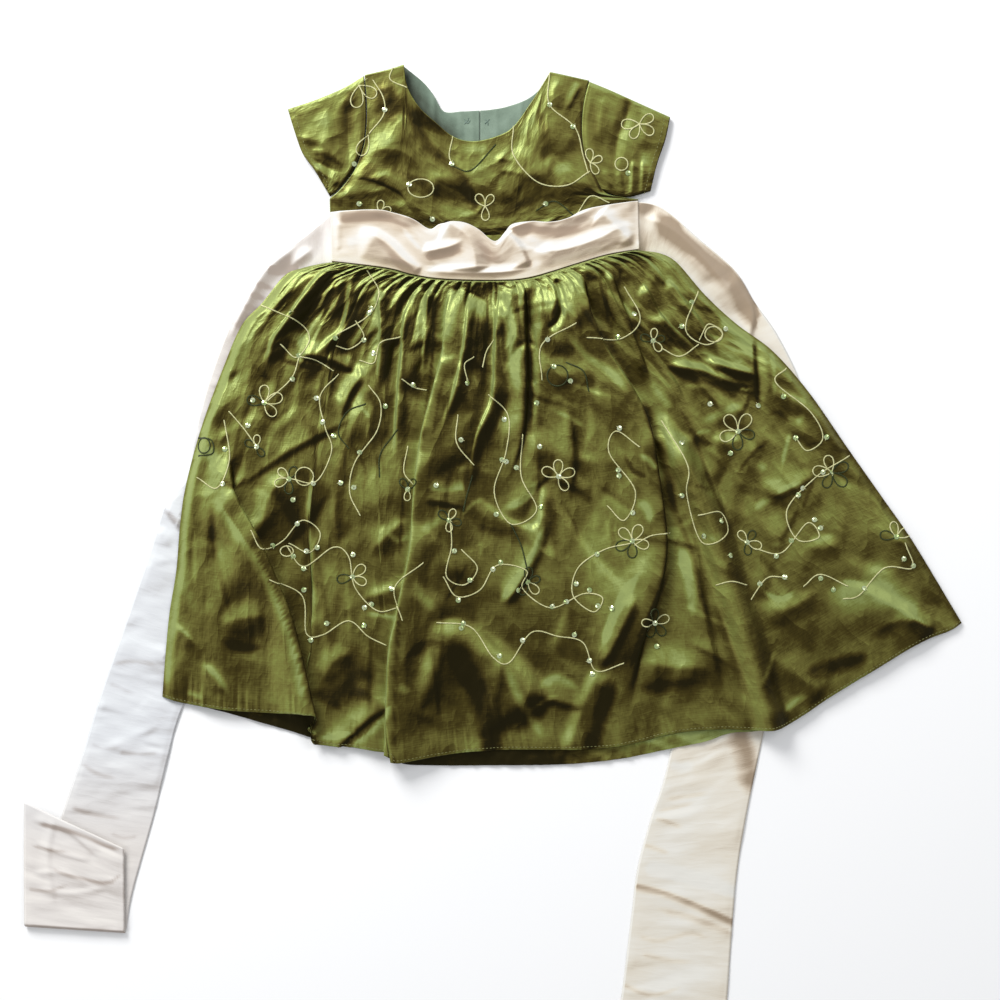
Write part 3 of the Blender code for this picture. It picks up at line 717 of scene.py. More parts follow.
def sleeve(name, shape):
    """A flattened tube between the armhole and the cuff, round at its fold and its underarm."""
    turn, along = np.linspace(0, 2 * math.pi, 121), np.linspace(0, 1, 71)
    across = SLEEVE_EDGE + (1 - 2 * SLEEVE_EDGE) * (0.5 - 0.5 * np.cos(turn))
    xy = panel(shape["armhole"], shape["cuff"], shape["top"], shape["underarm"], across, along)
    high = np.sin(turn)[None] * np.ones(len(along))[:, None]
    round_edge = np.sign(high) * np.abs(high) ** 0.25
    lift, slide = lay_folds(xy, shape["folds"])
    share = np.meshgrid(np.linspace(0, 1, len(turn)), along)
    crush = soften(crumple(*share, *SLEEVE_SPAN, (12, 11), 0.8, 31), 2)
    upper = np.clip(high, 0, 1) ** 0.7
    ends = smooth(share[1] * 14) * smooth((1 - share[1]) * 14)
    puff = (0.6 * lift + 0.6 * crush + 0.8) * upper * (0.3 + 0.7 * ends)
    z = SLEEVE_HEIGHT + (SLEEVE_HEIGHT - 0.5) * round_edge + puff
    z = np.maximum(z, 0.25 + 0.9 * (high > 0))
    z[:, -1] = z[:, 0]
    # Painted highlights and shade on the sleeve, a little lighter all over
    tone_and_painted_light = 0.08 + BODICE_TONE * lay_folds(xy, shape["tone_and_painted_light"])[0]
    piece = cloth_piece(name, np.dstack([xy, z]), green_taffeta, SLEEVE_CUT, tone_and_painted_light=tone_and_painted_light)
    made = bmesh.new()
    made.from_mesh(piece.data)
    bmesh.ops.remove_doubles(made, verts=made.verts, dist=0.01 * MM)
    bmesh.ops.recalc_face_normals(made, faces=made.faces)
    upward = max(made.faces, key=lambda face: face.calc_center_median().z)
    if upward.normal.z < 0:
        bmesh.ops.reverse_faces(made, faces=made.faces)
    made.to_mesh(piece.data)
    made.free()
    add_wall(piece, SLEEVE_WALL)
    return piece


sleeve_left = sleeve("sleeve_left_cloth", SLEEVE_LEFT)
sleeve_right = sleeve("sleeve_right_cloth", SLEEVE_RIGHT)
for piece, node in ((sleeve_left, "sleeve_left"), (sleeve_right, "sleeve_right")):
    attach(piece, "root")
    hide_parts(node)

# Skirt back
# A gathered panel of the same taffeta as the front. Only its hem and its edges show past the
# front, and it lies flat over the two ties.
SKIRT_LEFT = [
    (-125.6, 228.7), (-133.4, 227.8), (-149.3, 224.1), (-162.7, 218.2), (-179.4, 197.3),
    (-195.8, 179.4), (-210.6, 145.1), (-227.0, 100.2), (-238.7, 56.9), (-243.4, 26.5),
    (-246.5, -10.9), (-251.9, -44.9), (-255.1, -78.8), (-257.4, -109.2),
]
SKIRT_RIGHT = [
    (113.9, 238.1), (130.7, 235.6), (144.0, 227.8), (164.6, 203.6), (189.5, 180.6),
    (217.6, 159.9), (245.7, 127.9), (276.1, 84.2), (301.9, 47.6), (326.8, 11.7),
    (356.9, -38.2), (365.0, -51.9),
]
HEM_BACK = [
    (-257.4, -109.2), (-207.5, -122.0), (-158.3, -136.1), (-129.9, -144.5), (-79.6, -152.0),
    (-71.2, -161.5), (-46.0, -163.0), (-3.9, -163.0), (55.4, -162.2), (97.9, -158.1),
    (131.8, -151.3), (165.4, -144.3), (184.9, -137.8), (224.6, -131.0), (295.6, -87.4),
    (365.0, -51.9),
]
SKIRT_SPAN = (620, 400)
BACK_CUT = (0.80, 0.41)

across, along = np.linspace(0, 1, 281), np.linspace(0, 1, 141)
u, v = np.meshgrid(across, along)
back_xy = panel(WAIST, HEM_BACK, SKIRT_LEFT, SKIRT_RIGHT, across, along)
under = heights_on(ray_ground(frame["nodes"]["skirt_back"]), back_xy, missing=1.5)
crush = np.abs(crumple(u, v, *SKIRT_SPAN, (6, 5), 1.6, 41)) * smooth((v - 0.93) / 0.03)
crush *= smooth(np.minimum(u, 1 - u) / 0.06)

# The strip that shows below the front is brown at the left and bright towards the right
back_tone = 1.15 * smooth((u - 0.44) / 0.22) - 0.65
back_tone *= smooth((v - 0.94) / 0.03) * smooth((0.85 - u) / 0.1)
skirt_back = cloth_piece(
    "skirt_back_cloth", np.dstack([back_xy, soften(under, 2) + crush]), green_taffeta, BACK_CUT,
    tone_and_painted_light=back_tone,
)
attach(skirt_back, "root")
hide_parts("skirt_back")

# Skirt front
# One gathered panel of embroidered taffeta. It lies on the back in large folds that run from the
# gathers at the waist to the hem, some lapped over their neighbour, with crisp creases across.
HEM_FRONT = [
    (-257.4, -109.2), (-241.8, -113.9), (-207.5, -119.3), (-173.9, -121.7), (-141.5, -124.3),
    (-140.6, -143.5), (-129.9, -147.0), (-106.1, -149.0), (-79.2, -154.4), (-74.9, -159.9),
    (-46.0, -155.5), (-20.3, -152.1), (13.3, -150.5), (55.4, -150.5), (89.4, -149.0),
    (114.7, -144.3), (131.8, -139.6), (152.9, -136.0), (179.4, -134.2), (206.7, -134.9),
    (224.6, -132.6), (242.6, -122.5), (263.6, -108.4), (296.0, -88.6), (331.9, -67.1),
    (354.9, -58.2), (365.0, -51.9),
]
SKIRT_COLUMNS = 420
SKIRT_ROWS = 226
FRONT_CUT = (0.84, 0.41)

# Folds, with the same columns as those of the bodice
SKIRT_FOLDS = [
    ([(-207, 90), (-204, 48), (-188, 18), (-173, -16),
      (-158, -56), (-142, -126)], 9, 34, 9, 0.25, 0.0, 14),
    ([(-30, 212), (-33, 164), (-39, 137), (-51, 90), (-56, 48), (-59, 6),
      (-66, -28), (-71, -53), (-76, -79), (-79, -170)], 9, 10, 60, 0.08, 0.0, 14),
    ([(66, 222), (70, 190), (84, 158), (103, 130), (117, 100), (124, 60),
      (130, 9), (124, -28), (113, -62), (108, -87), (103, -122)], 9, 60, 10, 0.08, 0.25, 12),
    ([(126, 120), (146, 78), (163, 42), (176, 6), (186, -28),
      (197, -60), (207, -94), (218, -139)], 10, 17, 15, 0.2, 0.0),
    ([(150, 30), (156, 4), (163, -40), (170, -75), (180, -112)], 3.0, 26, 6),
    ([(-66, 200), (-69, 155), (-71, 134), (-73, 105), (-76, 67)], 5, 6, 20, 0.15, 0.4, 5),
    ([(-121, 225), (-141, 207), (-162, 176), (-176, 165)], 4, 6, 9, 0.2, 0.4, 3),
    ([(-100, 112), (-127, 98), (-162, 79), (-201, 51)], 1.9, 18, 5, 0.4),
    ([(204, 176), (206, 141), (208, 111)], -3, 4, 8, 0.2, 0.4),
    ([(-52, -54), (-20, -70), (8, -88), (24, -104), (40, -126)], 7, 62, 20, 0.2, 0.2),
    ([(31, -107), (50, -113), (72, -118)], 1.9, 5, 20, 0.3, 0.2),
    ([(84, -86), (72, -112), (60, -148)], 2.7, 9, 34, 0.2, 0.0),
    ([(108, -82), (140, -86), (172, -88)], 3.0, 30, 16),
    ([(82, -90), (98, -60), (112, -28)], 2.4, 7, 13, 0.25, 0.2),
    ([(41, 26), (28, -6), (10, -38)], 2.7, 13, 7, 0.2, 0.15),
    ([(268, -19), (292, -29), (315, -41), (345, -59)], 2.4, 28, 9, 0.3, 0.1),
    ([(206, -33), (222, -42), (240, -35), (254, -24)], 1.9, 14, 11, 0.3, 0.4),
    ([(216, -79), (238, -94), (260, -111)], 1.6, 16, 18, 0.3, 0.2),
    ([(209, 45), (231, 53), (253, 65)], 1.6, 7, 11),
    ([(241, 8), (256, 7), (271, 11)], 1.6, 14, 11),
    ([(168, 92), (180, 88), (196, 92)], 1.8, 9, 12),
    ([(-212, -54), (-193, -48), (-175, -46)], 2.6, 26, 15, 0.3, 0.2),
    ([(-249, -52), (-238, -62), (-227, -73)], 1.4, 12, 6, 0.3, 0.4),
    ([(-226, -82), (-215, -92), (-204, -107)], 1.6, 12, 7),
    ([(-217, 30), (-215, -8), (-210, -34)], -1.6, 7, 5),
    ([(-231, 24), (-233, 0), (-232, -26)], -1.0, 5, 4),
    ([(-79, -112), (-101, -130), (-121, -148)], 2.2, 14, 4, 0.2, 0.0, 2),
    ([(-106, -74), (-124, -82), (-132, -100)], 1.8, 12, 12),
    ([(-108, -98), (-90, -112), (-84, -124)], 1.6, 8, 12),
    ([(-133, 214), (-151, 192), (-170, 165), (-176, 141)], 4, 5, 12, 0.2, 0.3, 2),
    ([(-108, 219), (-115, 176), (-127, 165), (-141, 153)], 4, 6, 14, 0.2, 0.3, 2),
    ([(-152, 157), (-128, 153), (-106, 143)], 3.6, 5, 13, 0.2, 0.2, 1),
    ([(-100, 143), (-112, 124), (-118, 104)], 3, 12, 6, 0.2, 0.4),
    ([(-106, 150), (-98, 132), (-92, 116)], 3, 9, 5, 0.2, 0.4),
    ([(-158, 67), (-174, 44), (-180, 12)], 1.8, 9, 12),
    ([(23, 212), (24, 172), (25, 128), (22, 92), (12, 58)], 4.2, 22, 4, 0.06, 0.3, 2),
    ([(28, 208), (29, 168), (31, 126), (30, 96)], -2.6, 4, 6, 0.1),
    ([(161, 153), (189, 144), (208, 139)], 3.5, 7, 6, 0.3, 0.3, 1),
    ([(130, 149), (161, 144), (173, 139), (197, 128)], 3.5, 8, 7, 0.3, 0.3, 1),
    ([(-18, 200), (-21, 161), (-30, 122), (-41, 98)], 4, 5, 10, 0.1, 0.4, 3),
    ([(5, 200), (3, 161), (1, 122), (-12, 90), (-18, 51)], 4, 5, 11, 0.1, 0.4, 3),
    ([(-12, 46), (8, 28), (36, 22), (40, 60)], 2.1, 14, 5, 0.2, 0.2, 1),
    ([(49, 216), (53, 196), (50, 182), (42, 176)], -2.8, 4, 5, 0.1, 0.1),
    ([(88, 222), (100, 190), (112, 158), (124, 128)], 4, 9, 5, 0.1, 0.3, 3),
    ([(115, 211), (130, 184), (154, 161), (165, 149)], 4, 8, 5, 0.1, 0.4, 3),
    ([(134, 214), (152, 190), (168, 168), (177, 150)], 3.4, 8, 5, 0.1, 0.4, 2),
    ([(-88, 207), (-85, 168), (-90, 122)], 4, 5, 9, 0.1, 0.4, 3),
    ([(-49, 207), (-51, 176), (-54, 145)], 4, 5, 8, 0.1, 0.4, 2),
    ([(56, 120), (62, 84), (60, 40)], 2.2, 12, 5, 0.3, 0.4),
    ([(-66, 30), (-82, 16), (-96, 2)], 1.8, 8, 12),
    ([(-64, -12), (-80, -26), (-104, -34)], 1.8, 7, 12),
]

# Painted highlights and painted shade in streaks and patches, like those of the bodice
SKIRT_TONE = 0.018
SKIRT_PAINTED_LIGHT = [
    ([(-140, -110), (-115, -104), (-90, -88)], -42, 15, 17, 0.2),
    ([(-151, 219), (-123, 200), (-94, 176)], -30, 31, 28, 0.2, 0.2),
    ([(255, -27), (278, -34), (306, -34), (333, -44)], 26, 23.4, 23.4, 0.2, 0.1),
    ([(286, -3), (302, -19), (314, -33)], 18, 15.6, 18.7),
    ([(193, 175), (197, 165), (202, 154)], 34, 4.7, 6, 0.1, 0.0),
    ([(-248, -3), (-254, -42), (-255, -81), (-254, -105)], 22, 3, 6, 0.2, 0.1),
    ([(9, 209), (15, 168), (20, 120)], 30, 8.6, 7, 0.1, 0.2),
    ([(-32, 211), (-36, 184), (-33, 159)], 22, 8.6, 8.6, 0.1),
    ([(-57, 211), (-57, 176), (-55, 134)], 16, 7, 7, 0.1, 0.2),
    ([(-88, 209), (-89, 180), (-94, 153)], 25, 6, 5.5, 0.1),
    ([(-115, 159), (-108, 168), (-99, 183)], 25, 6, 6),
    ([(-170, 161), (-157, 172), (-141, 159)], 26, 6, 9.4),
    ([(-172, 201), (-158, 215), (-136, 223)], 26, 4.7, 7, 0.2, 0.2),
    ([(-224, 90), (-214, 73), (-199, 66)], 32, 9.4, 7),
    ([(-112, 120), (-102, 115), (-94, 106)], 25, 2.3, 2.3, 0.3, 0.2),
    ([(-52, 53), (-37, 51), (-21, 53)], 30, 2.3, 9.4, 0.2, 0.1),
    ([(-58, 19), (-43, 27), (-30, 30)], 20, 6, 6),
    ([(5, 36), (24, 42), (37, 61)], 28, 3, 7, 0.3, 0.2),
    ([(-26, 30), (-15, 41), (-4, 45)], 22, 3, 3),
    ([(5, -37), (21, -16), (34, 5), (41, 28)], 36, 4.7, 5.5, 0.1, 0.2),
    ([(-62, -15), (-53, -34), (-40, -44)], 22, 7, 7),
    ([(-83, 20), (-74, 12), (-63, 17)], 25, 3, 4.7),
    ([(41, 115), (57, 109), (76, 98)], 18, 3, 3),
    ([(54, 175), (74, 154), (91, 142), (108, 122)], 22, 4.7, 5.5, 0.2, 0.2),
    ([(37, 201), (51, 197), (64, 183)], 25, 6, 7, 0.2),
    ([(109, 45), (119, 36), (123, 23)], 25, 5.5, 7),
    ([(111, 80), (122, 74), (128, 66)], 36, 4.7, 3, 0.3, 0.2),
    ([(84, -73), (92, -48), (103, -27), (117, -8)], 40, 5.5, 4.7, 0.2),
    ([(143, 12), (151, -19), (155, -51)], 30, 5.5, 9.4),
    ([(117, 147), (127, 129), (141, 112)], 16, 6, 6, 0.2, 0.2),
    ([(152, 159), (176, 158), (199, 148)], 22, 7, 6, 0.3, 0.2),
    ([(174, 186), (188, 172), (201, 156)], 30, 6, 8.6, 0.2, 0.1),
    ([(159, 103), (177, 111), (197, 120)], 28, 7, 5.5),
    ([(155, 95), (171, 98)], 26, 3, 3),
    ([(203, 73), (214, 66)], 22, 6, 6, 0.4, 0.4),
    ([(201, 34), (211, 43), (221, 44)], 26, 4.7, 4.7, 0.3, 0.4),
    ([(216, 46), (228, 53), (243, 58)], 28, 3, 3),
    ([(232, 100), (227, 83), (224, 67)], 22, 3, 3),
    ([(234, 101), (243, 112)], 22, 4.7, 4.7, 0.4, 0.4),
    ([(165, 17), (172, 13), (179, 21)], 22, 3, 6),
    ([(207, -25), (222, -33), (237, -26)], 34, 3, 3),
    ([(269, -19), (282, -21), (293, -26)], 26, 2.3, 2.3, 0.3, 0.2),
    ([(292, -28), (317, -42), (344, -58)], 20, 1.2, 2.3, 0.2, 0.2),
    ([(213, 7), (225, 11)], 20, 3, 3, 0.4, 0.4),
    ([(243, 12), (268, 17)], 16, 4.7, 3, 0.4, 0.4),
    ([(216, 162), (218, 141), (218, 120)], 18, 3, 3, 0.2),
    ([(189, 130), (203, 129)], 30, 1.6, 1.6),
    ([(-214, 47), (-197, 20), (-183, 1), (-172, -21), (-156, -61), (-148, -95),
      (-144, -122)], 30, 8.6, 1.2, 0.1, 0.1),
    ([(-225, -82), (-214, -93), (-203, -109)], 32, 4.7, 4.7),
    ([(-240, -105), (-224, -111)], 30, 3, 4.7),
    ([(-250, -51), (-240, -58), (-229, -68)], 24, 2.0, 2.3, 0.2),
    ([(-243, -11), (-236, -30), (-230, -47)], 12, 7, 7),
    ([(-101, -44), (-84, -46), (-70, -49)], 28, 3, 1.6, 0.2, 0.2),
    ([(-140, -142), (-123, -140), (-102, -136)], 30, 3, 3),
    ([(-112, -148), (-94, -134), (-78, -112)], 30, 7, 0.9, 0.2, 0.1),
    ([(-75, -100), (-62, -105)], 28, 6, 6, 0.3, 0.4),
    ([(8, -83), (21, -112), (41, -144)], 24, 5.5, 7, 0.2, 0.2),
    ([(33, -105), (49, -94), (69, -105)], 28, 7, 5.5),
    ([(226, -122), (236, -112), (247, -108)], 26, 3, 5.5, 0.2),
    ([(115, 229), (133, 218), (154, 198)], 16, 5.5, 5.5, 0.2, 0.2),
    ([(-202, 128), (-194, 156), (-180, 183)], 14, 6, 4.7),
    ([(-94, 127), (-115, 81), (-120, 40), (-119, -15)], -26, 7, 7),
    ([(-151, 207), (-165, 197), (-179, 178)], -34, 3, 3, 0.2),
    ([(-166, 153), (-148, 148), (-127, 144)], -40, 3, 3, 0.2, 0.2),
    ([(-151, 118), (-140, 97), (-127, 90)], -20, 7, 7),
    ([(-174, 128), (-177, 112), (-162, 106)], -28, 7, 7),
    ([(-211, 61), (-200, 54), (-190, 62)], -38, 3, 3, 0.2, 0.2),
    ([(-193, 59), (-169, 50), (-151, 20), (-141, -11)], -22, 5.5, 9.4, 0.2, 0.4),
    ([(-143, -3), (-133, -34), (-129, -66)], -18, 6, 6, 0.3, 0.4),
    ([(30, 215), (29, 168), (27, 122), (30, 86)], -28, 3, 4.7, 0.1, 0.2),
    ([(41, 212), (49, 197), (44, 182)], -36, 2.7, 3, 0.2),
    ([(62, 201), (77, 180), (93, 161), (109, 137)], -28, 3, 6, 0.2, 0.2),
    ([(115, 123), (121, 103), (128, 86), (135, 58), (140, 28)], -40, 3, 8.6, 0.1),
    ([(133, 153), (151, 139), (177, 133), (202, 133)], -28, 5.5, 3, 0.1, 0.2),
    ([(143, 118), (157, 90), (166, 62), (179, 32), (190, 6)], -20, 2.3, 3, 0.1),
    ([(136, 67), (142, 36), (154, 5), (161, -27), (174, -69)], -26, 4.7, 3, 0.2),
    ([(41, 67), (47, 20), (53, -19)], -18, 6, 7, 0.3, 0.4),
    ([(-18, 27), (5, 20), (30, 28)], -28, 7, 3, 0.2, 0.2),
    ([(-55, 42), (-37, 41), (-20, 38)], -28, 5.5, 2.3, 0.2, 0.2),
    ([(101, 80), (108, 67), (120, 61)], -32, 3, 3, 0.2, 0.2),
    ([(186, 59), (200, 78), (218, 93)], -26, 2.3, 2.3),
    ([(154, 98), (161, 90), (172, 86)], -26, 3, 2.3),
    ([(152, 56), (171, 51)], -20, 2.3, 2.3),
    ([(250, 59), (244, 48), (239, 34)], -22, 2.3, 3, 0.2),
    ([(210, 105), (220, 112), (232, 101)], -20, 2.3, 3),
    ([(239, 83), (254, 90)], -22, 2.3, 2.3),
    ([(289, 58), (302, 40), (312, 23)], -14, 1.6, 2.3),
    ([(202, 166), (204, 137), (206, 108)], -26, 2.3, 2.3, 0.1),
    ([(-213, -64), (-194, -72), (-175, -69)], -38, 5.5, 7),
    ([(-219, 45), (-216, 5), (-209, -27), (-200, -56)], -24, 3, 4.7, 0.1),
    ([(-112, -62), (-104, -89), (-102, -117)], -26, 17, 14),
    ([(-118, -17), (-123, -50), (-128, -84)], -20, 6, 6),
    ([(-144, -105), (-127, -112), (-115, -123)], -24, 4.7, 6, 0.2),
    ([(-69, -78), (-49, -66), (-32, -70)], -28, 7, 3),
    ([(-35, -66), (-15, -103), (-1, -150)], -42, 10, 17, 0.2, 0.0),
    ([(-71, -3), (-74, -66), (-76, -112), (-76, -161)], -24, 2.3, 2.3, 0.3, 0.0),
    ([(93, -90), (85, -120), (76, -150)], -42, 10, 9.4, 0.2, 0.0),
    ([(110, -101), (134, -101), (163, -95)], -34, 9.4, 7, 0.2),
    ([(171, -33), (185, -73), (200, -115)], -24, 7, 3, 0.3, 0.2),
    ([(239, -92), (263, -84), (296, -76)], -42, 11.7, 7, 0.2, 0.2),
    ([(288, -66), (317, -51), (347, -59)], -38, 10, 3, 0.3, 0.2),
    ([(140, -5), (126, -34), (115, -58), (106, -90)], -30, 1.6, 1.6, 0.2, 0.1),
    ([(55, 1), (60, -42), (66, -83)], -12, 6, 4.7),
    ([(-121, 44), (-151, 67), (-174, 61)], -10, 7, 10),
    ([(154, -112), (185, -115), (204, -120)], -16, 9.4, 9.4),
    ([(-63, 206), (-68, 168), (-70, 128)], -34, 1.6, 2.0, 0.1),
    ([(-47, 209), (-46, 175), (-48, 144), (-53, 106), (-55, 67)], -34, 1.6, 2.0, 0.1),
    ([(-36, 144), (-41, 125), (-47, 90)], -26, 1.6, 2.0, 0.2),
    ([(-86, 200), (-87, 165), (-94, 142)], -30, 1.6, 2.0, 0.1),
    ([(-4, 206), (-5, 176), (-9, 142)], -28, 1.6, 2.0, 0.1),
    ([(-69, 90), (-70, 44), (-73, -3)], -30, 1.6, 2.3, 0.2, 0.1),
    ([(-112, 90), (-99, 67), (-103, 44)], -18, 1.6, 2.3, 0.2),
    ([(-18, -3), (-32, -27), (-41, -39)], -22, 1.6, 2.3, 0.2),
    ([(82, 214), (87, 196), (98, 176)], -28, 1.6, 2.3, 0.1),
    ([(52, 44), (62, 28), (68, 9)], -18, 1.6, 2.3),
    ([(-183, 137), (-190, 114), (-200, 90)], -22, 1.6, 2.3, 0.2),
    ([(-174, 176), (-176, 151), (-179, 129)], -24, 1.6, 2.3, 0.2),
]
GATHERS = 27
GATHER_HEIGHT = 2.8
HEM_FALL = 4.0
WAIST_DROP = 0.6
STRAY_CREASES = 130
HEM_PUCKERS = 150
PUCKER_HEIGHT = 0.9
WAIST_WIDTH = 242
FLARE = 400
DEEPEST_PAINTED_SHADE = -0.75
PAINTED_SHADE_SHARE = 0.6
SIDE_PAINTED_SHADE = 0.30
RIM_PAINTED_HIGHLIGHT = 0.7


def gathers(u, v):
    """Rounded tubes with sharp valleys between them, each with its own reach down the skirt."""
    random = np.random.default_rng(3)
    knots = np.linspace(0, 1, 40)
    phase = u * GATHERS + np.interp(u, knots, random.uniform(-0.6, 0.6, 40))
    reach = np.interp(u, knots, 0.06 + 0.30 * random.uniform(0, 1, 40) ** 1.5)
    own = np.interp(u, knots, random.uniform(0.5, 1.3, 40)) * (0.40 + 0.60 * smooth((u - 0.10) / 0.20))
    tube = np.abs(np.cos(math.pi * phase)) ** 0.6
    wander = 0.5 * np.sin(u * 60.0 + 2.0) + 0.4 * np.sin(u * 37.0)
    fine = np.abs(np.cos(math.pi * (phase * 2.1 + wander)))
    return GATHER_HEIGHT * own * tube * np.exp(-((v / reach) ** 1.5)) + fine * np.exp(-v / 0.03)


def hem_puckers(u, v):
    """Small upright puckers that the hem's stitches draw into the cloth above them."""
    random = np.random.default_rng(8)
    knots = np.linspace(0, 1, 160)
    phase = u * HEM_PUCKERS + np.interp(u, knots, random.uniform(-0.6, 0.6, 160))
    own = np.interp(u, knots, random.uniform(0.0, 1.0, 160)) ** 2
    return PUCKER_HEIGHT * own * np.cos(2 * math.pi * phase) * smooth((v - 0.93) / 0.05)


def stray_creases(xy, count, seed):
    """Creases that run down from the gathers, and some across them, sharp on one side."""
    random = np.random.default_rng(seed)
    rows, columns = xy.shape[0] - 1, xy.shape[1] - 1
    creases = []
    for _ in range(count):
        u, v = random.uniform(0.02, 0.98), 0.92 * random.uniform(0, 1) ** 1.4
        crossing = random.random() < 0.3
        down = random.uniform(0.02, 0.07) if crossing else random.uniform(0.08, 0.30)
        aside = random.uniform(-0.09, 0.09) if crossing else random.normal(0, 0.014)
        bend = random.normal(0, 0.008)
        path = []
        for t in (0.0, 0.33, 0.67, 1.0):
            column = np.clip(u + aside * t + bend * math.sin(math.pi * t), 0.01, 0.99) * columns
            path.append(tuple(xy[int(min(v + down * t, 0.99) * rows), int(column)]))
        height = random.uniform(0.8, 2.2) if random.random() < 0.6 else -random.uniform(0.8, 1.8)
        sides = [random.uniform(2.2, 3.6), random.uniform(7, 20)]
        random.shuffle(sides)
        creases.append((path, height, *sides, 0.35, 0.5))
    return creases


across = np.linspace(0, 1, SKIRT_COLUMNS + 1)
along = np.linspace(0, 1, SKIRT_ROWS + 1) ** 1.15
u, v = np.meshgrid(across, along)
front_xy = panel(WAIST, HEM_FRONT, SKIRT_LEFT, SKIRT_RIGHT, across, along)
side = smooth(np.minimum(u, 1 - u) * (WAIST_WIDTH + FLARE * v) / 7.0)
lift, slide = lay_folds(front_xy, SKIRT_FOLDS)

# Crumpled more in its upper part, and flat where it is sewn to the waist
upper = smooth((0.85 - v) / 0.5)
sewn = smooth(v / 0.07)
lift += 2.5 + HEM_FALL * smooth((1 - v) / 0.28)
lift += soften(crumple(u, v, *SKIRT_SPAN, (44, 84), 2.6, 11), 2) * sewn
lift += soften(crumple(u, v, *SKIRT_SPAN, (21, 34), 1.5, 12), 1) * (0.35 + 0.65 * upper) * sewn
lift += soften(crumple(u, v, *SKIRT_SPAN, (15, 17), 1.3, 13), 1) * (0.6 + 0.4 * upper) * sewn
lift += lay_folds(front_xy, stray_creases(front_xy, STRAY_CREASES, 14))[0] * sewn * 0.6
lift += gathers(u, v) + hem_puckers(u, v)
lift *= 1 - WAIST_DROP * smooth((0.012 - v) / 0.012)
front_xy = front_xy + slide * side[..., None]
back_heights = soften(heights_on(ray_ground(skirt_back), front_xy, missing=2.0), 6)
front_z = back_heights + 0.8 + np.maximum(lift, 0.2) * side

# The hem is turned under: four more rows go round the edge and back below the cloth. Each gives
# how far it lies past the edge, how far below the upper side, and how many rows back it lies
HEM_TURN = [(0.3, 0.35, 0), (0.1, 0.75, 0), (-2.0, 0.85, 2), (-7.0, 0.85, 5)]
downhill = front_xy[-1] - front_xy[-4]
downhill /= np.linalg.norm(downhill, axis=-1)[:, None]
for out, drop, rows_back in HEM_TURN:
    front_xy = np.vstack([front_xy, (front_xy[SKIRT_ROWS] + out * downhill)[None]])
    under = np.maximum(front_z[SKIRT_ROWS - rows_back] - drop, 0.9)
    front_z = np.vstack([front_z, under[None]])
front_points = np.dstack([front_xy, front_z])

# Painted shade goes only so deep, the side edges get a little painted shade and the folded rim of the hem a
# painted highlight
front_painted_light = SKIRT_TONE * lay_folds(front_xy, SKIRT_PAINTED_LIGHT)[0]
painted_shade = PAINTED_SHADE_SHARE * np.maximum(front_painted_light, DEEPEST_PAINTED_SHADE)
front_painted_light = np.where(front_painted_light < 0, painted_shade, front_painted_light)
front_painted_light[:SKIRT_ROWS + 1] -= SIDE_PAINTED_SHADE * (1 - side)
front_painted_light[SKIRT_ROWS:SKIRT_ROWS + 3] += RIM_PAINTED_HIGHLIGHT
skirt_front = cloth_piece("skirt_front_cloth", front_points, green_taffeta, FRONT_CUT, tone_and_painted_light=front_painted_light)
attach(skirt_front, "root")
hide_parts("skirt_front")

# Ties
# Two long bands of crinkled cream satin, sewn into the side seams. They run out under the skirt
# and past its hem. The left one turns at the waist and ends folded up over itself.
TIE_LEFT = [
    (-124.9, 267.0, -123.8, 230.6), (-150.5, 246.5, -137.5, 207.0), (-177.1, 227.8, -146.0, 181.0),
    (-189.5, 211.4, -148.0, 170.0), (-200.5, 190.3, -150.0, 160.0), (-211.4, 164.6, -156.5, 138.0),
    (-222.3, 133.4, -165.0, 112.0), (-231.7, 98.3, -173.0, 78.0), (-238.7, 60.8, -181.0, 45.0),
    (-255.1, 41.3, -190.0, 20.0), (-267.5, 3.1, -204.0, -16.0), (-287.0, -53.8, -223.0, -72.0),
    (-306.5, -110.0, -244.5, -125.0), (-319.0, -151.3, -254.0, -160.0), (-333.1, -192.7, -264.5, -203.0),
    (-352.0, -250.0, -281.0, -262.0), (-364.0, -287.0, -286.0, -292.0),
]
TIE_LEFT_TURNED = [
    (-364.6, -287.0, -286.6, -292.0), (-365.0, -240.0, -286.8, -262.0), (-365.0, -191.1, -287.0, -227.5),
]
TIE_RIGHT = [
    (111.8, 276.0, 111.9, 239.4), (131.8, 271.4, 119.0, 229.0), (161.5, 246.5, 122.0, 201.0),
    (188.8, 222.3, 131.0, 178.0), (204.4, 197.3, 138.0, 163.0), (222.0, 172.0, 147.0, 144.0),
    (240.2, 132.6, 163.0, 115.0), (245.0, 90.5, 168.0, 84.0), (240.0, 0.0, 163.0, -8.0),
    (211.4, -135.7, 138.6, -152.1), (198.1, -198.9, 122.5, -206.7), (190.7, -243.4, 112.7, -243.4),
    (187.2, -280.0, 108.0, -280.0), (182.5, -346.3, 100.6, -340.0), (180.2, -381.4, 97.5, -352.0),
]
TIE_WIDTH = 78
TIE_WALL = 0.4
TIE_REST = TIE_WALL + 0.5
TIE_SEAM_RISE = 3.0
TIE_TURN_RADIUS = 1.3
TIE_ROWS = 380
TIE_COLUMNS = 45
TURN_STEPS = 8
TURNED_ROWS = 60
UNCOVERED = 90.0
TIE_LEFT_CUT = (0.078, 0.74)
TIE_RIGHT_CUT = (0.078, 0.69)
TIE_LEFT_FOLDS = [
    ([(-152, 243), (-176, 224), (-196, 190), (-206, 168)], 3.0, 5, 12, 0.2),
    ([(-140, 240), (-158, 226)], 1.5, 8, 8, 0.3, 0.4),
    ([(-258, 42), (-250, 30), (-242, 19)], 2.4, 2.5, 16, 0.1, 0.2),
    ([(-262, 24), (-250, 6)], 1.0, 8, 6, 0.3, 0.4),
]
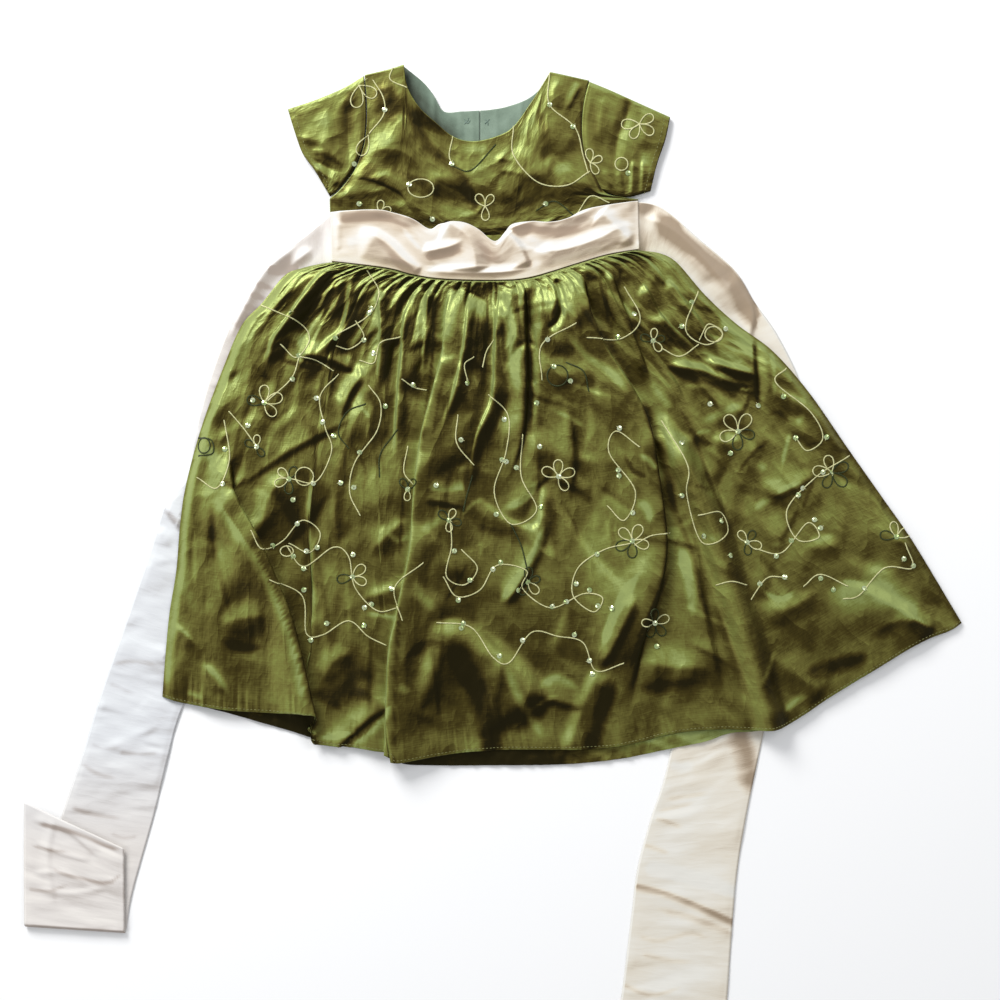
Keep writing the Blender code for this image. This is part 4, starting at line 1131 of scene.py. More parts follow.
TIE_RIGHT_FOLDS = [
    ([(116, 264), (140, 254), (165, 230), (186, 204), (196, 184)], 3.5, 24, 16, 0.1, 0.25),
    ([(186, 224), (198, 205), (203, 186), (199, 168)], 2.0, 14, 2.5, 0.2, 0.0),
    ([(150, 236), (172, 212)], 1.2, 7, 6, 0.3, 0.4),
]
TIE_TURNED_FOLDS = [
    ([(-362, -204), (-330, -214), (-305, -236)], 0.9, 3, 9, 0.2, 0.2),
    ([(-358, -222), (-335, -232), (-310, -238)], 0.7, 2, 7, 0.2, 0.2),
    ([(-360, -246), (-335, -246), (-312, -256)], 0.8, 7, 2, 0.2, 0.2),
    ([(-356, -258), (-330, -262), (-300, -258)], 0.6, 6, 3, 0.2, 0.2),
    ([(-340, -200), (-346, -235), (-340, -275)], 0.7, 8, 3, 0.2, 0.2),
]

# Painted shade (below 0) and painted highlights (above 0) on the satin, with the same columns
SATIN_TONE = 0.012
TIE_LEFT_PAINTED_LIGHT = [
    ([(-176, 226), (-165, 224), (-151, 226)], -55, 7, 2.3, 0.1, 0.1),
    ([(-179, 223), (-192, 200), (-204, 168), (-214, 129), (-225, 90)], -18, 10, 10, 0.1, 0.1),
    ([(-186, 213), (-177, 210), (-168, 207)], -26, 3, 3, 0.0, 0.2),
    ([(-193, 206), (-183, 202), (-176, 200)], -26, 3, 3, 0.0, 0.2),
    ([(-198, 197), (-188, 193), (-180, 192)], -22, 3, 3, 0.0, 0.2),
    ([(-205, 183), (-196, 179), (-190, 179)], -18, 3, 3, 0.0, 0.2),
    ([(-128, 258), (-150, 238), (-170, 212)], -24, 14, 14, 0.0),
    ([(-257, 41), (-252, 34), (-244, 25)], -30, 6, 3, 0.0, 0.2),
    ([(-297, -84), (-279, -82), (-260, -85)], -22, 3, 3, 0.1, 0.2),
    ([(-300, -99), (-287, -105), (-275, -110)], -18, 3, 3, 0.1),
    ([(-322, -161), (-307, -170), (-289, -174)], -24, 3, 3, 0.1),
    ([(-292, -153), (-275, -154), (-258, -153)], -22, 3, 3, 0.1, 0.2),
    ([(-330, -195), (-310, -202), (-283, -205)], -24, 3, 3, 0.1),
    ([(-300, -215), (-288, -220), (-275, -218)], -20, 3, 3, 0.2, 0.2),
    ([(-316, -144), (-303, -150), (-286, -147)], -16, 3, 3, 0.2),
]
TIE_RIGHT_PAINTED_LIGHT = [
    ([(150, -170), (146, -250), (140, -340)], 12, 45, 45, 0.1, 0.0),
    ([(118, 272), (134, 266), (152, 254)], -45, 14, 10, 0.0),
    ([(124, 268), (147, 250), (171, 229), (193, 212), (203, 189)], -74, 15.6, 8.6, 0.15, 0.0),
    ([(157, 250), (180, 231), (200, 212), (208, 190)], -32, 4.7, 6, 0.2, 0.1),
    ([(121, 243), (140, 228), (163, 206), (185, 183)], 14, 9.4, 6, 0.2, 0.2),
    ([(193, -138), (199, -155), (201, -171), (199, -189)], -48, 15.6, 10, 0.0),
    ([(136, -161), (147, -164), (158, -161)], 22, 7, 6, 0.2),
    ([(116, -242), (154, -251), (188, -262)], 24, 7, 9.4, 0.1, 0.0),
    ([(112, -257), (133, -262), (161, -273), (187, -285)], -48, 6, 3, 0.0, 0.0),
    ([(122, -273), (154, -281), (183, -292)], -22, 6, 3, 0.3, 0.0),
    ([(126, -204), (136, -207), (150, -213)], -24, 3, 3, 0.1),
    ([(117, -225), (127, -228), (140, -233)], -26, 3, 3, 0.1),
    ([(132, -190), (154, -187), (172, -184)], -22, 3, 3, 0.2),
    ([(126, -200), (147, -195), (161, -191)], -20, 3, 3, 0.2),
    ([(112, -296), (130, -300), (154, -294), (171, -300)], -18, 3, 3, 0.1, 0.2),
    ([(115, -310), (136, -315), (161, -317)], -18, 3, 3, 0.1),
    ([(103, -335), (124, -342), (152, -334)], -26, 3, 3, 0.0),
]
TIE_TURNED_PAINTED_LIGHT = [
    ([(-355, -208), (-328, -214), (-300, -226), (-289, -228)], -40, 3, 3, 0.1, 0.1),
    ([(-361, -225), (-341, -229), (-325, -230)], -32, 2.3, 2.3, 0.2),
    ([(-346, -242), (-322, -250), (-300, -254), (-288, -246)], -38, 3, 2.3, 0.1, 0.1),
    ([(-363, -259), (-344, -260), (-327, -254)], -30, 3, 2.3, 0.1),
    ([(-316, -239), (-303, -231), (-292, -236)], 16, 4.7, 4.7),
]

# Painted tones from the shaded side to the lit one: the cool set paints bluish light on the left tie and
# the warm set warm light on the right. The cool satin's two ends are a little warmer, beyond this place
# along the tie and these distances from it, in metres
SATIN_STOPS = (0.05, 0.32, 0.52, 0.80)
COOL_LIGHT_TONES = [(0.36, 0.32, 0.30), (0.52, 0.51, 0.51), (0.63, 0.64, 0.66), (0.70, 0.72, 0.735)]
WARM_LIGHT_TONES = [(0.32, 0.24, 0.16), (0.56, 0.47, 0.36), (0.72, 0.66, 0.55), (0.74, 0.72, 0.66)]
TIE_CREASE = 0.6
COOL_MIDDLE = -0.05
COOL_REACH = (0.09, 0.18)


def satin(name, tones, crease, ends=(1.0, 1.0, 1.0)):
    """Crinkled satin over a fine weave, with painted shade: warm where it leans away from the lit side,
    pale where it leans towards it.
    """
    nodes = Nodes(name)
    spot = nodes.cloth_place()
    weave = nodes.noise(spot, 1.0, 2.0, (150.0, 2400.0, 1.0))
    ridge = nodes.ridges(spot, (16.0, 75.0, 1.0), 2.5)
    height = nodes.math("MULTIPLY_ADD", ridge, -crease, nodes.math("MULTIPLY", weave, 0.06))
    crinkled = nodes.bump(height, 1.0, MM)
    shift = nodes.math("ADD", nodes.lean(crinkled), nodes.math("ADD", nodes.tone_and_painted_light(), 0.33))
    cloudy = nodes.math("MULTIPLY_ADD", nodes.noise(spot, 22.0, 4.0), 0.30, shift)
    mixed = nodes.math("MULTIPLY_ADD", weave, 0.20, cloudy)
    colour = nodes.ramp(mixed, list(zip(SATIN_STOPS, tones)))
    place = nodes.add("ShaderNodeTexCoord").outputs["Object"]
    down = nodes.add("ShaderNodeSeparateXYZ", {"Vector": place}).outputs["Y"]
    from_middle = nodes.math("ABSOLUTE", nodes.math("SUBTRACT", down, COOL_MIDDLE))
    reach = {"Value": from_middle, "From Min": COOL_REACH[0], "From Max": COOL_REACH[1]}
    far = nodes.add("ShaderNodeMapRange", reach).outputs["Result"]
    return nodes.finish(nodes.tinted(colour, ends, far), crinkled, 0.42, 0.0, 0.2)


def crinkles(u, v, length, seed):
    """Creases across a tie, close together in places and far apart in others."""
    random = np.random.default_rng(seed)
    patch = np.abs(soften(crumple(u, v, TIE_WIDTH, length, (40, 45), 1.0, seed + 1), 8)) * 2.2
    near = soften(crumple(u, v, TIE_WIDTH, length, (30, 5.5), 1.0, seed + 2), 1)
    broad = soften(crumple(u, v, TIE_WIDTH, length, (55, 24), 1.5, seed + 3), 3)
    slant = soften(crumple(u, v, TIE_WIDTH, length, (16, 11), 0.5, seed + 4), 1)
    own = np.interp(v[:, 0], np.linspace(0, 1, 24), random.uniform(0.4, 1.2, 24))[:, None]
    return 0.8 * near * np.clip(patch + 0.05, 0.1, 1.1) * own + 0.45 * broad + 0.6 * slant


def turned_over(path, rows, turned):
    """Carries a band round a soft turn at its end and on over itself."""
    outer, inner = rows[-1][:2], rows[-1][2:4]
    for step in range(1, TURN_STEPS):
        angle = math.pi * step / TURN_STEPS
        out = TIE_TURN_RADIUS * math.sin(angle)
        z = TIE_REST + TIE_TURN_RADIUS * (1 - math.cos(angle))
        path = np.vstack([path, (outer[0], outer[1] - out, z, inner[0], inner[1] - out, z)])
    z = TIE_REST + 2 * TIE_TURN_RADIUS
    over = [(*row[:2], z, *row[2:], z) for row in turned]
    return np.vstack([path, soft_line(over, np.linspace(0, 1, TURNED_ROWS))])


def tie(name, rows, turned, folds, tones_and_painted_lights, material, size, seed):
    """A band through its sections, crinkled, and kept below the skirt where it runs under it."""
    lying = [(*row[:2], TIE_REST, *row[2:], TIE_REST) for row in rows]
    path = soft_line(lying, np.linspace(0, 1, TIE_ROWS))
    if turned:
        path = turned_over(path, rows, turned)
    across = np.linspace(0, 1, TIE_COLUMNS)
    w = across[None, :, None]
    points = path[:, None, :3] * (1 - w) + path[:, None, 3:] * w
    u, v = np.meshgrid(across, np.linspace(0, 1, len(points)))
    xy = points[..., :2]
    inwards = np.minimum(u, 1 - u) * TIE_WIDTH
    length = size[1] * 1000
    edge = 0.45 + 0.55 * smooth(inwards / 6)
    lift = lay_folds(xy, folds)[0]
    tone_and_painted_light = SATIN_TONE * lay_folds(xy, tones_and_painted_lights)[0]
    # A painted highlight along both edges of the band
    tone_and_painted_light += 0.3 * smooth(1 - inwards / 2)
    rise = np.maximum(crinkles(u, v, length, seed) + 0.5, 0.0) * edge
    rise *= 1 - 0.75 * smooth((xy[..., 1] - 130) / 30)

    # The turned end lies flat at its bend, and the flap has creases and painted shade of its own
    if turned:
        number = np.arange(len(points))
        flap = number >= TIE_ROWS + TURN_STEPS - 1
        bend = (number >= TIE_ROWS - 6) & ~flap
        lift[flap] = lay_folds(xy, TIE_TURNED_FOLDS)[0][flap]
        tone_and_painted_light[flap] = SATIN_TONE * lay_folds(xy, TIE_TURNED_PAINTED_LIGHT)[0][flap]
        rise[bend] = 0.0
        rise[:TIE_ROWS] *= np.where(xy[:TIE_ROWS, :, 1] < -200, 0.35, 1.0)

    # At its seam the band rises to the waist, and the skirt back holds it down
    z = points[..., 2] + rise + np.maximum(lift, 0) * edge
    z += TIE_SEAM_RISE * smooth(1 - v * length / 14)
    cover = heights_on(ray_ground(skirt_back), xy, missing=UNCOVERED) - 0.5
    cover[TIE_ROWS:] = UNCOVERED
    z = np.where(cover < UNCOVERED - 10, np.minimum(z, np.maximum(cover, TIE_WALL)), z)
    return cloth_piece(name, np.dstack([xy, z]), material, size, TIE_WALL, tone_and_painted_light)


# Two painted copies of the same satin, one in cool light for the left tie and one in warm light for the
# right
satin_in_cool_light = satin("cream_satin_cool_light", COOL_LIGHT_TONES, TIE_CREASE, (1.06, 0.98, 0.90))
satin_in_warm_light = satin("cream_satin_warm_light", WARM_LIGHT_TONES, TIE_CREASE)
tie_left = tie(
    "tie_left_cloth", TIE_LEFT, TIE_LEFT_TURNED, TIE_LEFT_FOLDS, TIE_LEFT_PAINTED_LIGHT,
    satin_in_cool_light, TIE_LEFT_CUT, seed=60,
)
tie_right = tie(
    "tie_right_cloth", TIE_RIGHT, (), TIE_RIGHT_FOLDS, TIE_RIGHT_PAINTED_LIGHT,
    satin_in_warm_light, TIE_RIGHT_CUT, seed=70,
)
for piece, node, cut in ((tie_left, "tie_left", TIE_LEFT_CUT), (tie_right, "tie_right", TIE_RIGHT_CUT)):
    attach(piece, "root")
    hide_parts(node)

# Sash
# A soft band of cream satin across the waist, caught in the side seams. It isn't pressed flat:
# slanting folds run through it, and its upper edge waves and stands away from the bodice.
SASH_TOP = [
    (-126.6, 267.7), (-91.3, 268.8), (-76.4, 266.3), (-61.6, 261.5), (-49.1, 254.3),
    (-40.6, 258.3), (-24.2, 259.4), (-11.7, 254.6), (-1.1, 245.7), (3.9, 245.7),
    (9.4, 251.9), (15.6, 258.2), (30.4, 260.0), (44.9, 259.4), (57.4, 262.1),
    (70.0, 268.8), (86.6, 272.5), (113.1, 276.5),
]
SASH_SIDES = [(-125.6, 229.5), (-126.6, 267.7)], [(113.9, 238.9), (113.1, 276.5)]
SASH_SPAN = (240, 50)
SASH_WALL = 0.8
SASH_CUT = (0.245, 0.056)
SASH_PUFF = 1.6
SASH_FOLDS = [
    ([(-126, 267), (-92, 269), (-72, 266), (-54, 257)], 2.0, 9, 4, 0.1, 0.2),
    ([(-104, 255), (-84, 243), (-69, 229), (-57, 217)], 4.6, 26, 9, 0.25, 0.1, 2),
    ([(-38, 260), (-22, 250), (-15, 237), (-13, 220)], 4.8, 24, 13, 0.1, 0.1, 1),
    ([(-56, 236), (-34, 240), (-22, 246)], 2.6, 8, 8, 0.2, 0.4),
    ([(-54, 222), (-22, 220), (10, 221), (30, 224)], 2.0, 6, 7, 0.2, 0.2),
    ([(10, 252), (20, 240), (27, 224)], 3.6, 14, 6, 0.1, 0.15, 1),
    ([(10, 253), (30, 260), (57, 262), (82, 272)], 2.2, 10, 4, 0.1),
    ([(30, 236), (55, 238), (80, 246), (104, 258)], 3.0, 16, 10, 0.2),
    ([(82, 268), (96, 256), (110, 242)], 2.6, 14, 10, 0.1, 0.2),
    ([(-122, 262), (-121, 236)], 1.0, 4, 5, 0.2, 0.2),
]
# Painted shade (below 0) and painted highlights (above 0) on the sash, with the same columns as the folds
SASH_PAINTED_LIGHT = [
    ([(-121, 261), (-100, 264), (-80, 261), (-57, 250)], -24, 7, 4.7, 0.1, 0.2),
    ([(-115, 242), (-104, 246), (-94, 248)], 18, 7, 7, 0.2),
    ([(-93, 254), (-83, 242), (-73, 229), (-66, 221)], -26, 5.5, 5.5, 0.2, 0.0),
    ([(-71, 256), (-63, 246), (-55, 237)], 20, 3, 3, 0.2, 0.2),
    ([(-49, 237), (-41, 246), (-32, 253)], 10, 6, 6, 0.2, 0.2),
    ([(-24, 257), (-12, 246), (-2, 236), (7, 229)], -30, 10, 10, 0.1, 0.2),
    ([(-53, 232), (-37, 236), (-20, 237)], -28, 4.7, 3, 0.1, 0.2),
    ([(-53, 222), (-34, 225), (-10, 222), (5, 223)], 16, 4.7, 4.7, 0.1, 0.2),
    ([(23, 239), (27, 231), (30, 223)], -26, 2.7, 3, 0.2, 0.2),
    ([(26, 250), (37, 242), (46, 232)], 14, 6, 7, 0.2),
    ([(10, 256), (29, 254), (52, 252), (73, 256), (83, 265)], -34, 9.4, 4.7, 0.1, 0.2),
    ([(88, 265), (98, 257), (105, 245)], 18, 6, 7, 0.1, 0.1),
    ([(41, 226), (64, 234), (91, 242)], 14, 4.7, 4.7, 0.2, 0.2),
]

# Painted tones from the sash's shaded side to its lit one
SASH_TONES = [(0.38, 0.28, 0.20), (0.60, 0.50, 0.38), (0.69, 0.62, 0.52), (0.70, 0.68, 0.64)]
SASH_CREASE = 0.4

cream_satin = satin("cream_satin", SASH_TONES, SASH_CREASE)
across, along = np.linspace(0, 1, 241), np.linspace(0, 1, 61)
u, v = np.meshgrid(across, along)
sash_foot = [(x, y + 0.2) for x, y in WAIST]
sash_xy = panel(sash_foot, SASH_TOP, *SASH_SIDES, across, along)
fold_lift, fold_slide = lay_folds(sash_xy, SASH_FOLDS)
free = smooth(np.minimum(u, 1 - u) * SASH_SPAN[0] / 8) * (0.25 + 0.75 * smooth(v / 0.2))
below = soften(heights_on(ray_ground(bodice_front), sash_xy, missing=4.3), 6)
crush = soften(crumple(u, v, *SASH_SPAN, (22, 16), 0.7, 51), 3)
crush += soften(crumple(u, v, *SASH_SPAN, (8, 6), 0.2, 52), 1)
sash_z = below + 1.3 + np.maximum(SASH_PUFF * smooth(v) + fold_lift + crush, 0.0) * free
sash_painted_light = SATIN_TONE * lay_folds(sash_xy, SASH_PAINTED_LIGHT)[0]
sash_xy = sash_xy + fold_slide * free[..., None]
sash_front = cloth_piece(
    "sash_front_cloth", np.dstack([sash_xy, sash_z]), cream_satin, SASH_CUT, SASH_WALL, sash_painted_light
)
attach(sash_front, "root")
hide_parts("sash_front")

# Embroidery
# Machine embroidery in pale twisted thread over the skirt and the bodice. Thin vines wander and curl,
# with open loops for petals at their ends, and a few petals and stretches are in dark green.
PALE_VINES = [
    [(-180, 195), (-150, 181), (-142, 168), (-152, 154), (-164, 164)],
    [(-151, 155), (-137, 152), (-124, 144)],
    [(-150, 154), (-156, 138), (-174, 121)],
    [(-97, 221), (-88, 204), (-96, 187), (-120, 172)],
    [(-106, 182), (-100, 170), (-111, 161), (-121, 163)],
    [(-72, 170), (-87, 165), (-92, 150), (-103, 152)],
    [(-96, 132), (-87, 118), (-90, 97), (-107, 73), (-111, 50), (-103, 32)],
    [(-120, 141), (-134, 124), (-130, 100), (-125, 82), (-137, 58), (-156, 60)],
    [(-204, 112), (-192, 98), (-183, 85)],
    [(-208, 105), (-204, 75), (-213, 53), (-229, 61)],
    [(-186, 20), (-178, 6), (-163, 12), (-148, 28), (-134, 18), (-142, 3), (-158, 10)],
    [(-160, 8), (-147, -8), (-124, 7), (-112, 0), (-107, -24), (-90, -42), (-74, -40)],
    [(-172, -18), (-148, -31), (-145, -60), (-132, -61), (-112, -50), (-97, -62), (-83, -69)],
    [(-54, -5), (-76, -24), (-70, -49)],
    [(-33, 28), (-32, 8), (-36, -15), (-22, -22), (-12, -9), (-24, 5)],
    [(-38, -16), (-28, -31), (-10, -26), (3, -7), (26, -11), (23, -25), (45, -40), (70, -29),
     (85, -32), (78, -43), (62, -30), (66, -9), (86, 5), (106, 10)],
    [(110, 9), (122, 16), (137, 18)],
    [(-43, -51), (-17, -55), (0, -78), (13, -82), (30, -59), (50, -62), (70, -67), (80, -89), (101, -83)],
    [(-70, 137), (-61, 131), (-52, 129)],
    [(-66, 85), (-69, 66), (-62, 56)],
    [(-19, 134), (-22, 148), (-15, 154)],
    [(-8, 147), (-5, 159), (1, 168)],
    [(-27, 109), (-28, 88), (-15, 71)],
    [(-3, 125), (12, 109), (10, 80), (1, 50), (14, 25), (34, 36), (22, 62), (23, 94)],
    [(64, 180), (38, 164), (38, 137)],
    [(102, 208), (114, 184), (100, 169), (73, 169)],
    [(113, 85), (95, 97), (90, 80), (110, 51), (102, 28), (89, 39)],
    [(159, 205), (149, 176), (165, 164), (178, 172), (167, 180), (160, 168)],
    [(159, 164), (145, 155), (131, 161)],
    [(228, 146), (219, 135), (246, 112), (256, 92), (244, 82), (235, 92)],
    [(131, 105), (150, 70), (150, 48), (162, 11), (181, 18), (176, 34), (159, 32)],
    [(203, 6), (224, 3), (244, 26), (253, 15), (236, 13), (228, 36), (250, 61), (277, 78)],
    [(320, 10), (326, -9), (304, -9), (284, -30), (272, -33)],
    [(200, -33), (212, -17), (226, -16)],
    [(173, -22), (184, -19), (196, -22)],
    [(241, -23), (254, -14), (275, -23)],
    [(-77, 381), (-80, 371), (-67, 364)],
    [(-93, 370), (-85, 356), (-85, 343), (-96, 329)],
    [(-31, 327), (-34, 312), (-31, 304)],
    [(16, 334), (16, 312), (34, 291), (57, 288), (75, 299)],
    [(44, 375), (44, 351), (64, 333), (70, 312), (74, 298)],
    [(66, 267), (76, 280), (90, 275)],
]
DARK_VINES = [
    [(-74, 98), (-87, 80), (-88, 62)],
    [(-16, 62), (-20, 48), (-23, 35)],
    [(-31, 303), (-17, 300), (2, 320)],
    [(34, 269), (48, 276), (63, 265)],
    [(-229, 92), (-218, 90), (-217, 80), (-228, 78)],
    [(14, 25), (22, 8), (27, -12)],
    [(-99, 118), (-113, 112), (-120, 96), (-112, 84)],
    [(57, 150), (70, 143), (74, 128)],
]

# Rings: place of the middle, half its width, half its height
PALE_RINGS = [(-146, 62, 7, 7), (-56, 286, 10, 7), (100, 305, 5, 5), (-160, 4, 5, 4), (171, 172, 7, 6)]
DARK_RINGS = [(50, 140, 8, 8), (-224, 86, 5, 6)]

# Flowers: place, bearing of the first petal, its length, and the petals anticlockwise,
# pale (p), dark (d) or left out (-)
FLOWERS = [
    (-158, 60, 130, 12, "ppd-d"), (-183, 85, 90, 9, "pd-d-"), (-177, 119, 95, 14, "pd-pp"),
    (-109, -16, 45, 12, "p-d-p"), (51, 62, 90, 13, "pp-pp"), (108, 12, 60, 14, "ppddp"),
    (124, 167, 90, 10, "pd-pd"), (190, 97, 55, 15, "pppdd"), (197, 11, 130, 11, "p-dpd"),
    (263, 65, 100, 14, "ppddd"), (313, 15, 95, 13, "pd--p"), (126, -52, 170, 12, "pddpd"),
    (-34, 28, 60, 10, "pd-pd"), (27, -20, 20, 11, "dd-dp"), (-66, 52, 265, 10, "p-dd-"),
    (-6, 272, 60, 11, "pp-p-"), (-88, 267, 90, 9, "p---p"), (-104, 366, 255, 17, "pp---"),
    (114, 336, 30, 13, "p-ppp"), (76, 306, 20, 10, "pp--p"), (-97, 327, 245, 16, "p----"),
]
PETAL_FULLNESS = 0.3596
THREAD_RISE = 0.25
LAP_JUMP = 1.4

# The vines and flowers of the skirt come first in their lists
SKIRT_VINES = 36
SKIRT_FLOWERS = 15
PALE_STITCH = {"Pitch": 1.0, "Length": 2.1, "Width": 1.0, "Height": 0.7, "Twist": 0.4}
DARK_STITCH = {"Pitch": 1.10, "Length": 2.2, "Width": 1.10, "Height": 0.60, "Twist": 0.45}


class PieceTree(Nodes):
    """A geometry tree with named sizes in metres, which sets a small piece at each point of a line."""

    def __init__(self, name, sizes):
        self.tree = bpy.data.node_groups.new(name, "GeometryNodeTree")
        sockets = self.tree.interface
        sockets.new_socket("Geometry", in_out="INPUT", socket_type="NodeSocketGeometry")
        for size in sizes:
            sockets.new_socket(size, in_out="INPUT", socket_type="NodeSocketFloat")
        sockets.new_socket("Material", in_out="INPUT", socket_type="NodeSocketMaterial")
        sockets.new_socket("Geometry", in_out="OUTPUT", socket_type="NodeSocketGeometry")
        self.given = self.tree.nodes.new("NodeGroupInput").outputs

    def facing(self, rotation, axis, direction, pivot="AUTO"):
        inputs = {"Rotation": rotation, "Vector": direction} if rotation else {"Vector": direction}
        node = self.add("FunctionNodeAlignRotationToVector", inputs, axis=axis, pivot_axis=pivot)
        return node.outputs["Rotation"]

    def own(self, low, high, seed):
        inputs = {2: low, 3: high, 8: seed}
        return self.add("FunctionNodeRandomValue", inputs, data_type="FLOAT").outputs[1]

    def cloth_normal(self):
        inputs = {"Name": "cloth_normal"}
        node = self.add("GeometryNodeInputNamedAttribute", inputs, data_type="FLOAT_VECTOR")
        return node.outputs["Attribute"]

    def close(self, instances):
        real = self.add("GeometryNodeRealizeInstances", {"Geometry": instances}).outputs[0]
        inputs = {"Geometry": real, "Material": self.given["Material"]}
        coated = self.add("GeometryNodeSetMaterial", inputs).outputs[0]
        self.add("NodeGroupOutput", {"Geometry": coated})
        return self.tree


def stitch_tree():
    """Short plump stitches that overlap along a line, each turned a little, as in a twisted thread."""
    nodes = PieceTree("stitches", PALE_STITCH)
    given = nodes.given
    line = nodes.add("GeometryNodeMeshToCurve", {"Mesh": given["Geometry"]}).outputs["Curve"]
    inputs = {"Curve": line, "Length": given["Pitch"]}
    spots = nodes.add("GeometryNodeResampleCurve", inputs, mode="LENGTH").outputs["Curve"]
    bead = nodes.add("GeometryNodeMeshUVSphere", {"Segments": 6, "Rings": 3, "Radius": 0.5}).outputs["Mesh"]
    inputs = {"X": given["Length"], "Y": given["Width"], "Z": given["Height"]}
    size = nodes.add("ShaderNodeCombineXYZ", inputs).outputs["Vector"]
    bead = nodes.add("GeometryNodeTransform", {"Geometry": bead, "Scale": size}).outputs["Geometry"]
    bead = nodes.add("GeometryNodeSetShadeSmooth", {"Geometry": bead}).outputs["Geometry"]
    tangent = nodes.add("GeometryNodeInputTangent").outputs["Tangent"]

    # Each stitch lies along the line, flat on the cloth, and then turns a little across it
    turned = nodes.facing(None, "X", tangent)
    turned = nodes.facing(turned, "Z", nodes.cloth_normal(), pivot="X")
    twist = nodes.add("ShaderNodeCombineXYZ", {"Z": given["Twist"]}).outputs["Vector"]
    inputs = {"Rotation": turned, "Rotate By": twist}
    turned = nodes.add("FunctionNodeRotateRotation", inputs, rotation_space="LOCAL").outputs["Rotation"]
    inputs = {"Points": spots, "Instance": bead, "Rotation": turned, "Scale": nodes.own(0.88, 1.12, 5)}
    return nodes.close(nodes.add("GeometryNodeInstanceOnPoints", inputs).outputs["Instances"])


def run_of(points):
    """Length of the straight run through these points."""
    return np.linalg.norm(np.diff(np.array(points, float), axis=0), axis=1).sum()


def laid_line(grounds, points, rise=THREAD_RISE, step=0.9):
    """A soft line laid on the cloth, in stretches that end where the cloth laps over itself."""
    stretches = [[]]
    for x, y in soft_line(points, np.linspace(0, 1, max(3, round(run_of(points) / step)))):
        hits = [ground.ray_cast(Vector((x, y, RAY_FROM)), DOWN) for ground in grounds]
        hits = [hit for hit in hits if hit[0] is not None]
        if not hits:
            stretches.append([])
            continue
        place, facing = max(hits, key=lambda hit: hit[0].z)[:2]
        facing = facing if facing.z > 0 else -facing
        spot = place + facing * rise
        if stretches[-1] and abs(spot.z - stretches[-1][-1][2]) > LAP_JUMP:
            stretches.append([])
        stretches[-1].append((*spot, *facing))
    return [stretch for stretch in stretches if len(stretch) > 1]


def set_along(name, stretches, tree, sizes, material):
    """Runs a geometry tree along laid lines and keeps what it makes as one plain mesh."""
    spots = np.array([row for stretch in stretches for row in stretch])
    edges, first = [], 0
    for stretch in stretches:
        edges += [(first + i, first + i + 1) for i in range(len(stretch) - 1)]
        first += len(stretch)
    mesh = bpy.data.meshes.new(name)
    mesh.from_pydata((spots[:, :3] * MM).tolist(), edges, [])
    facing = mesh.attributes.new("cloth_normal", "FLOAT_VECTOR", "POINT")
    facing.data.foreach_set("vector", spots[:, 3:].astype(np.float32).reshape(-1))
    piece = bpy.data.objects.new(name, mesh)
    collection.objects.link(piece)
    setter = piece.modifiers.new("set", "NODES")
    setter.node_group = tree
    given = {item.name: item.identifier for item in tree.interface.items_tree if item.in_out == "INPUT"}
    for size, value in sizes.items():
        setter[given[size]] = value if size == "Twist" else value * MM
    setter[given["Material"]] = material
    ready = piece.evaluated_get(bpy.context.evaluated_depsgraph_get())
    piece.data = bpy.data.meshes.new_from_object(ready)
    piece.data.name = name
    piece.modifiers.clear()
    return piece


def petal(x, y, bearing, length):
    """An open loop of thread, pointed where it starts and round at its far end."""
    turn = np.linspace(0, 2 * math.pi, 13)
    far = length * (0.5 - 0.5 * np.cos(turn))
    side = length * PETAL_FULLNESS * np.sin(turn) * np.sqrt(0.5 - 0.5 * np.cos(turn))
    a = math.radians(bearing)
    return [
        (x + f * math.cos(a) - s * math.sin(a), y + f * math.sin(a) + s * math.cos(a))
        for f, s in zip(far, side)
    ]


def ring(x, y, half_width, half_height):
    """A closed ring of thread."""
    turn = np.linspace(0, 2 * math.pi, 17)
    return list(zip(x + half_width * np.cos(turn), y + half_height * np.sin(turn)))


def thread(name, dark, light):
    """Rayon thread with a silky gleam, a little uneven in its tone."""
    nodes = Nodes(name)
    spot = nodes.add("ShaderNodeTexCoord").outputs["Object"]
    fine = nodes.noise(spot, 2600.0, 2.0)
    cloudy = nodes.math("MULTIPLY", nodes.noise(spot, 260.0, 3.0), 0.6)
    colour = nodes.ramp(nodes.math("MULTIPLY_ADD", fine, 0.4, cloudy), [(0.3, dark), (0.7, light)])
    nodes.shader.inputs["Specular IOR Level"].default_value = 0.2
    return nodes.finish(colour, nodes.bump(fine, 0.4, 0.2 * MM), 0.38, 0.0, 0.05)


grounds = [ray_ground(piece) for piece in (skirt_front, bodice_front, sleeve_left, sleeve_right)]
pale_lines = list(PALE_VINES) + [ring(*row) for row in PALE_RINGS]
dark_lines = list(DARK_VINES) + [ring(*row) for row in DARK_RINGS]
random = np.random.default_rng(17)
for x, y, bearing, length, petals in FLOWERS:
    for number, kind in enumerate(petals):
        own_bearing = bearing + number * 72 + random.uniform(-7, 7)
        own_length = length * random.uniform(0.88, 1.08)
        if kind == "p":
            pale_lines.append(petal(x, y, own_bearing, own_length))
        if kind == "d":
            dark_lines.append(petal(x, y, own_bearing, own_length))

stitches = stitch_tree()
pale_thread = thread("pale_thread", (0.40, 0.39, 0.17), (0.70, 0.69, 0.38))
dark_thread = thread("dark_thread", (0.012, 0.018, 0.003), (0.040, 0.052, 0.010))
for name, lines, sizes, material in (
    ("embroidery_pale", pale_lines, PALE_STITCH, pale_thread),
    ("embroidery_dark", dark_lines, DARK_STITCH, dark_thread),
):
    stretches = [stretch for line in lines for stretch in laid_line(grounds, line)]
    embroidery = set_along(name, stretches, stitches, sizes, material)
    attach(embroidery, "root")

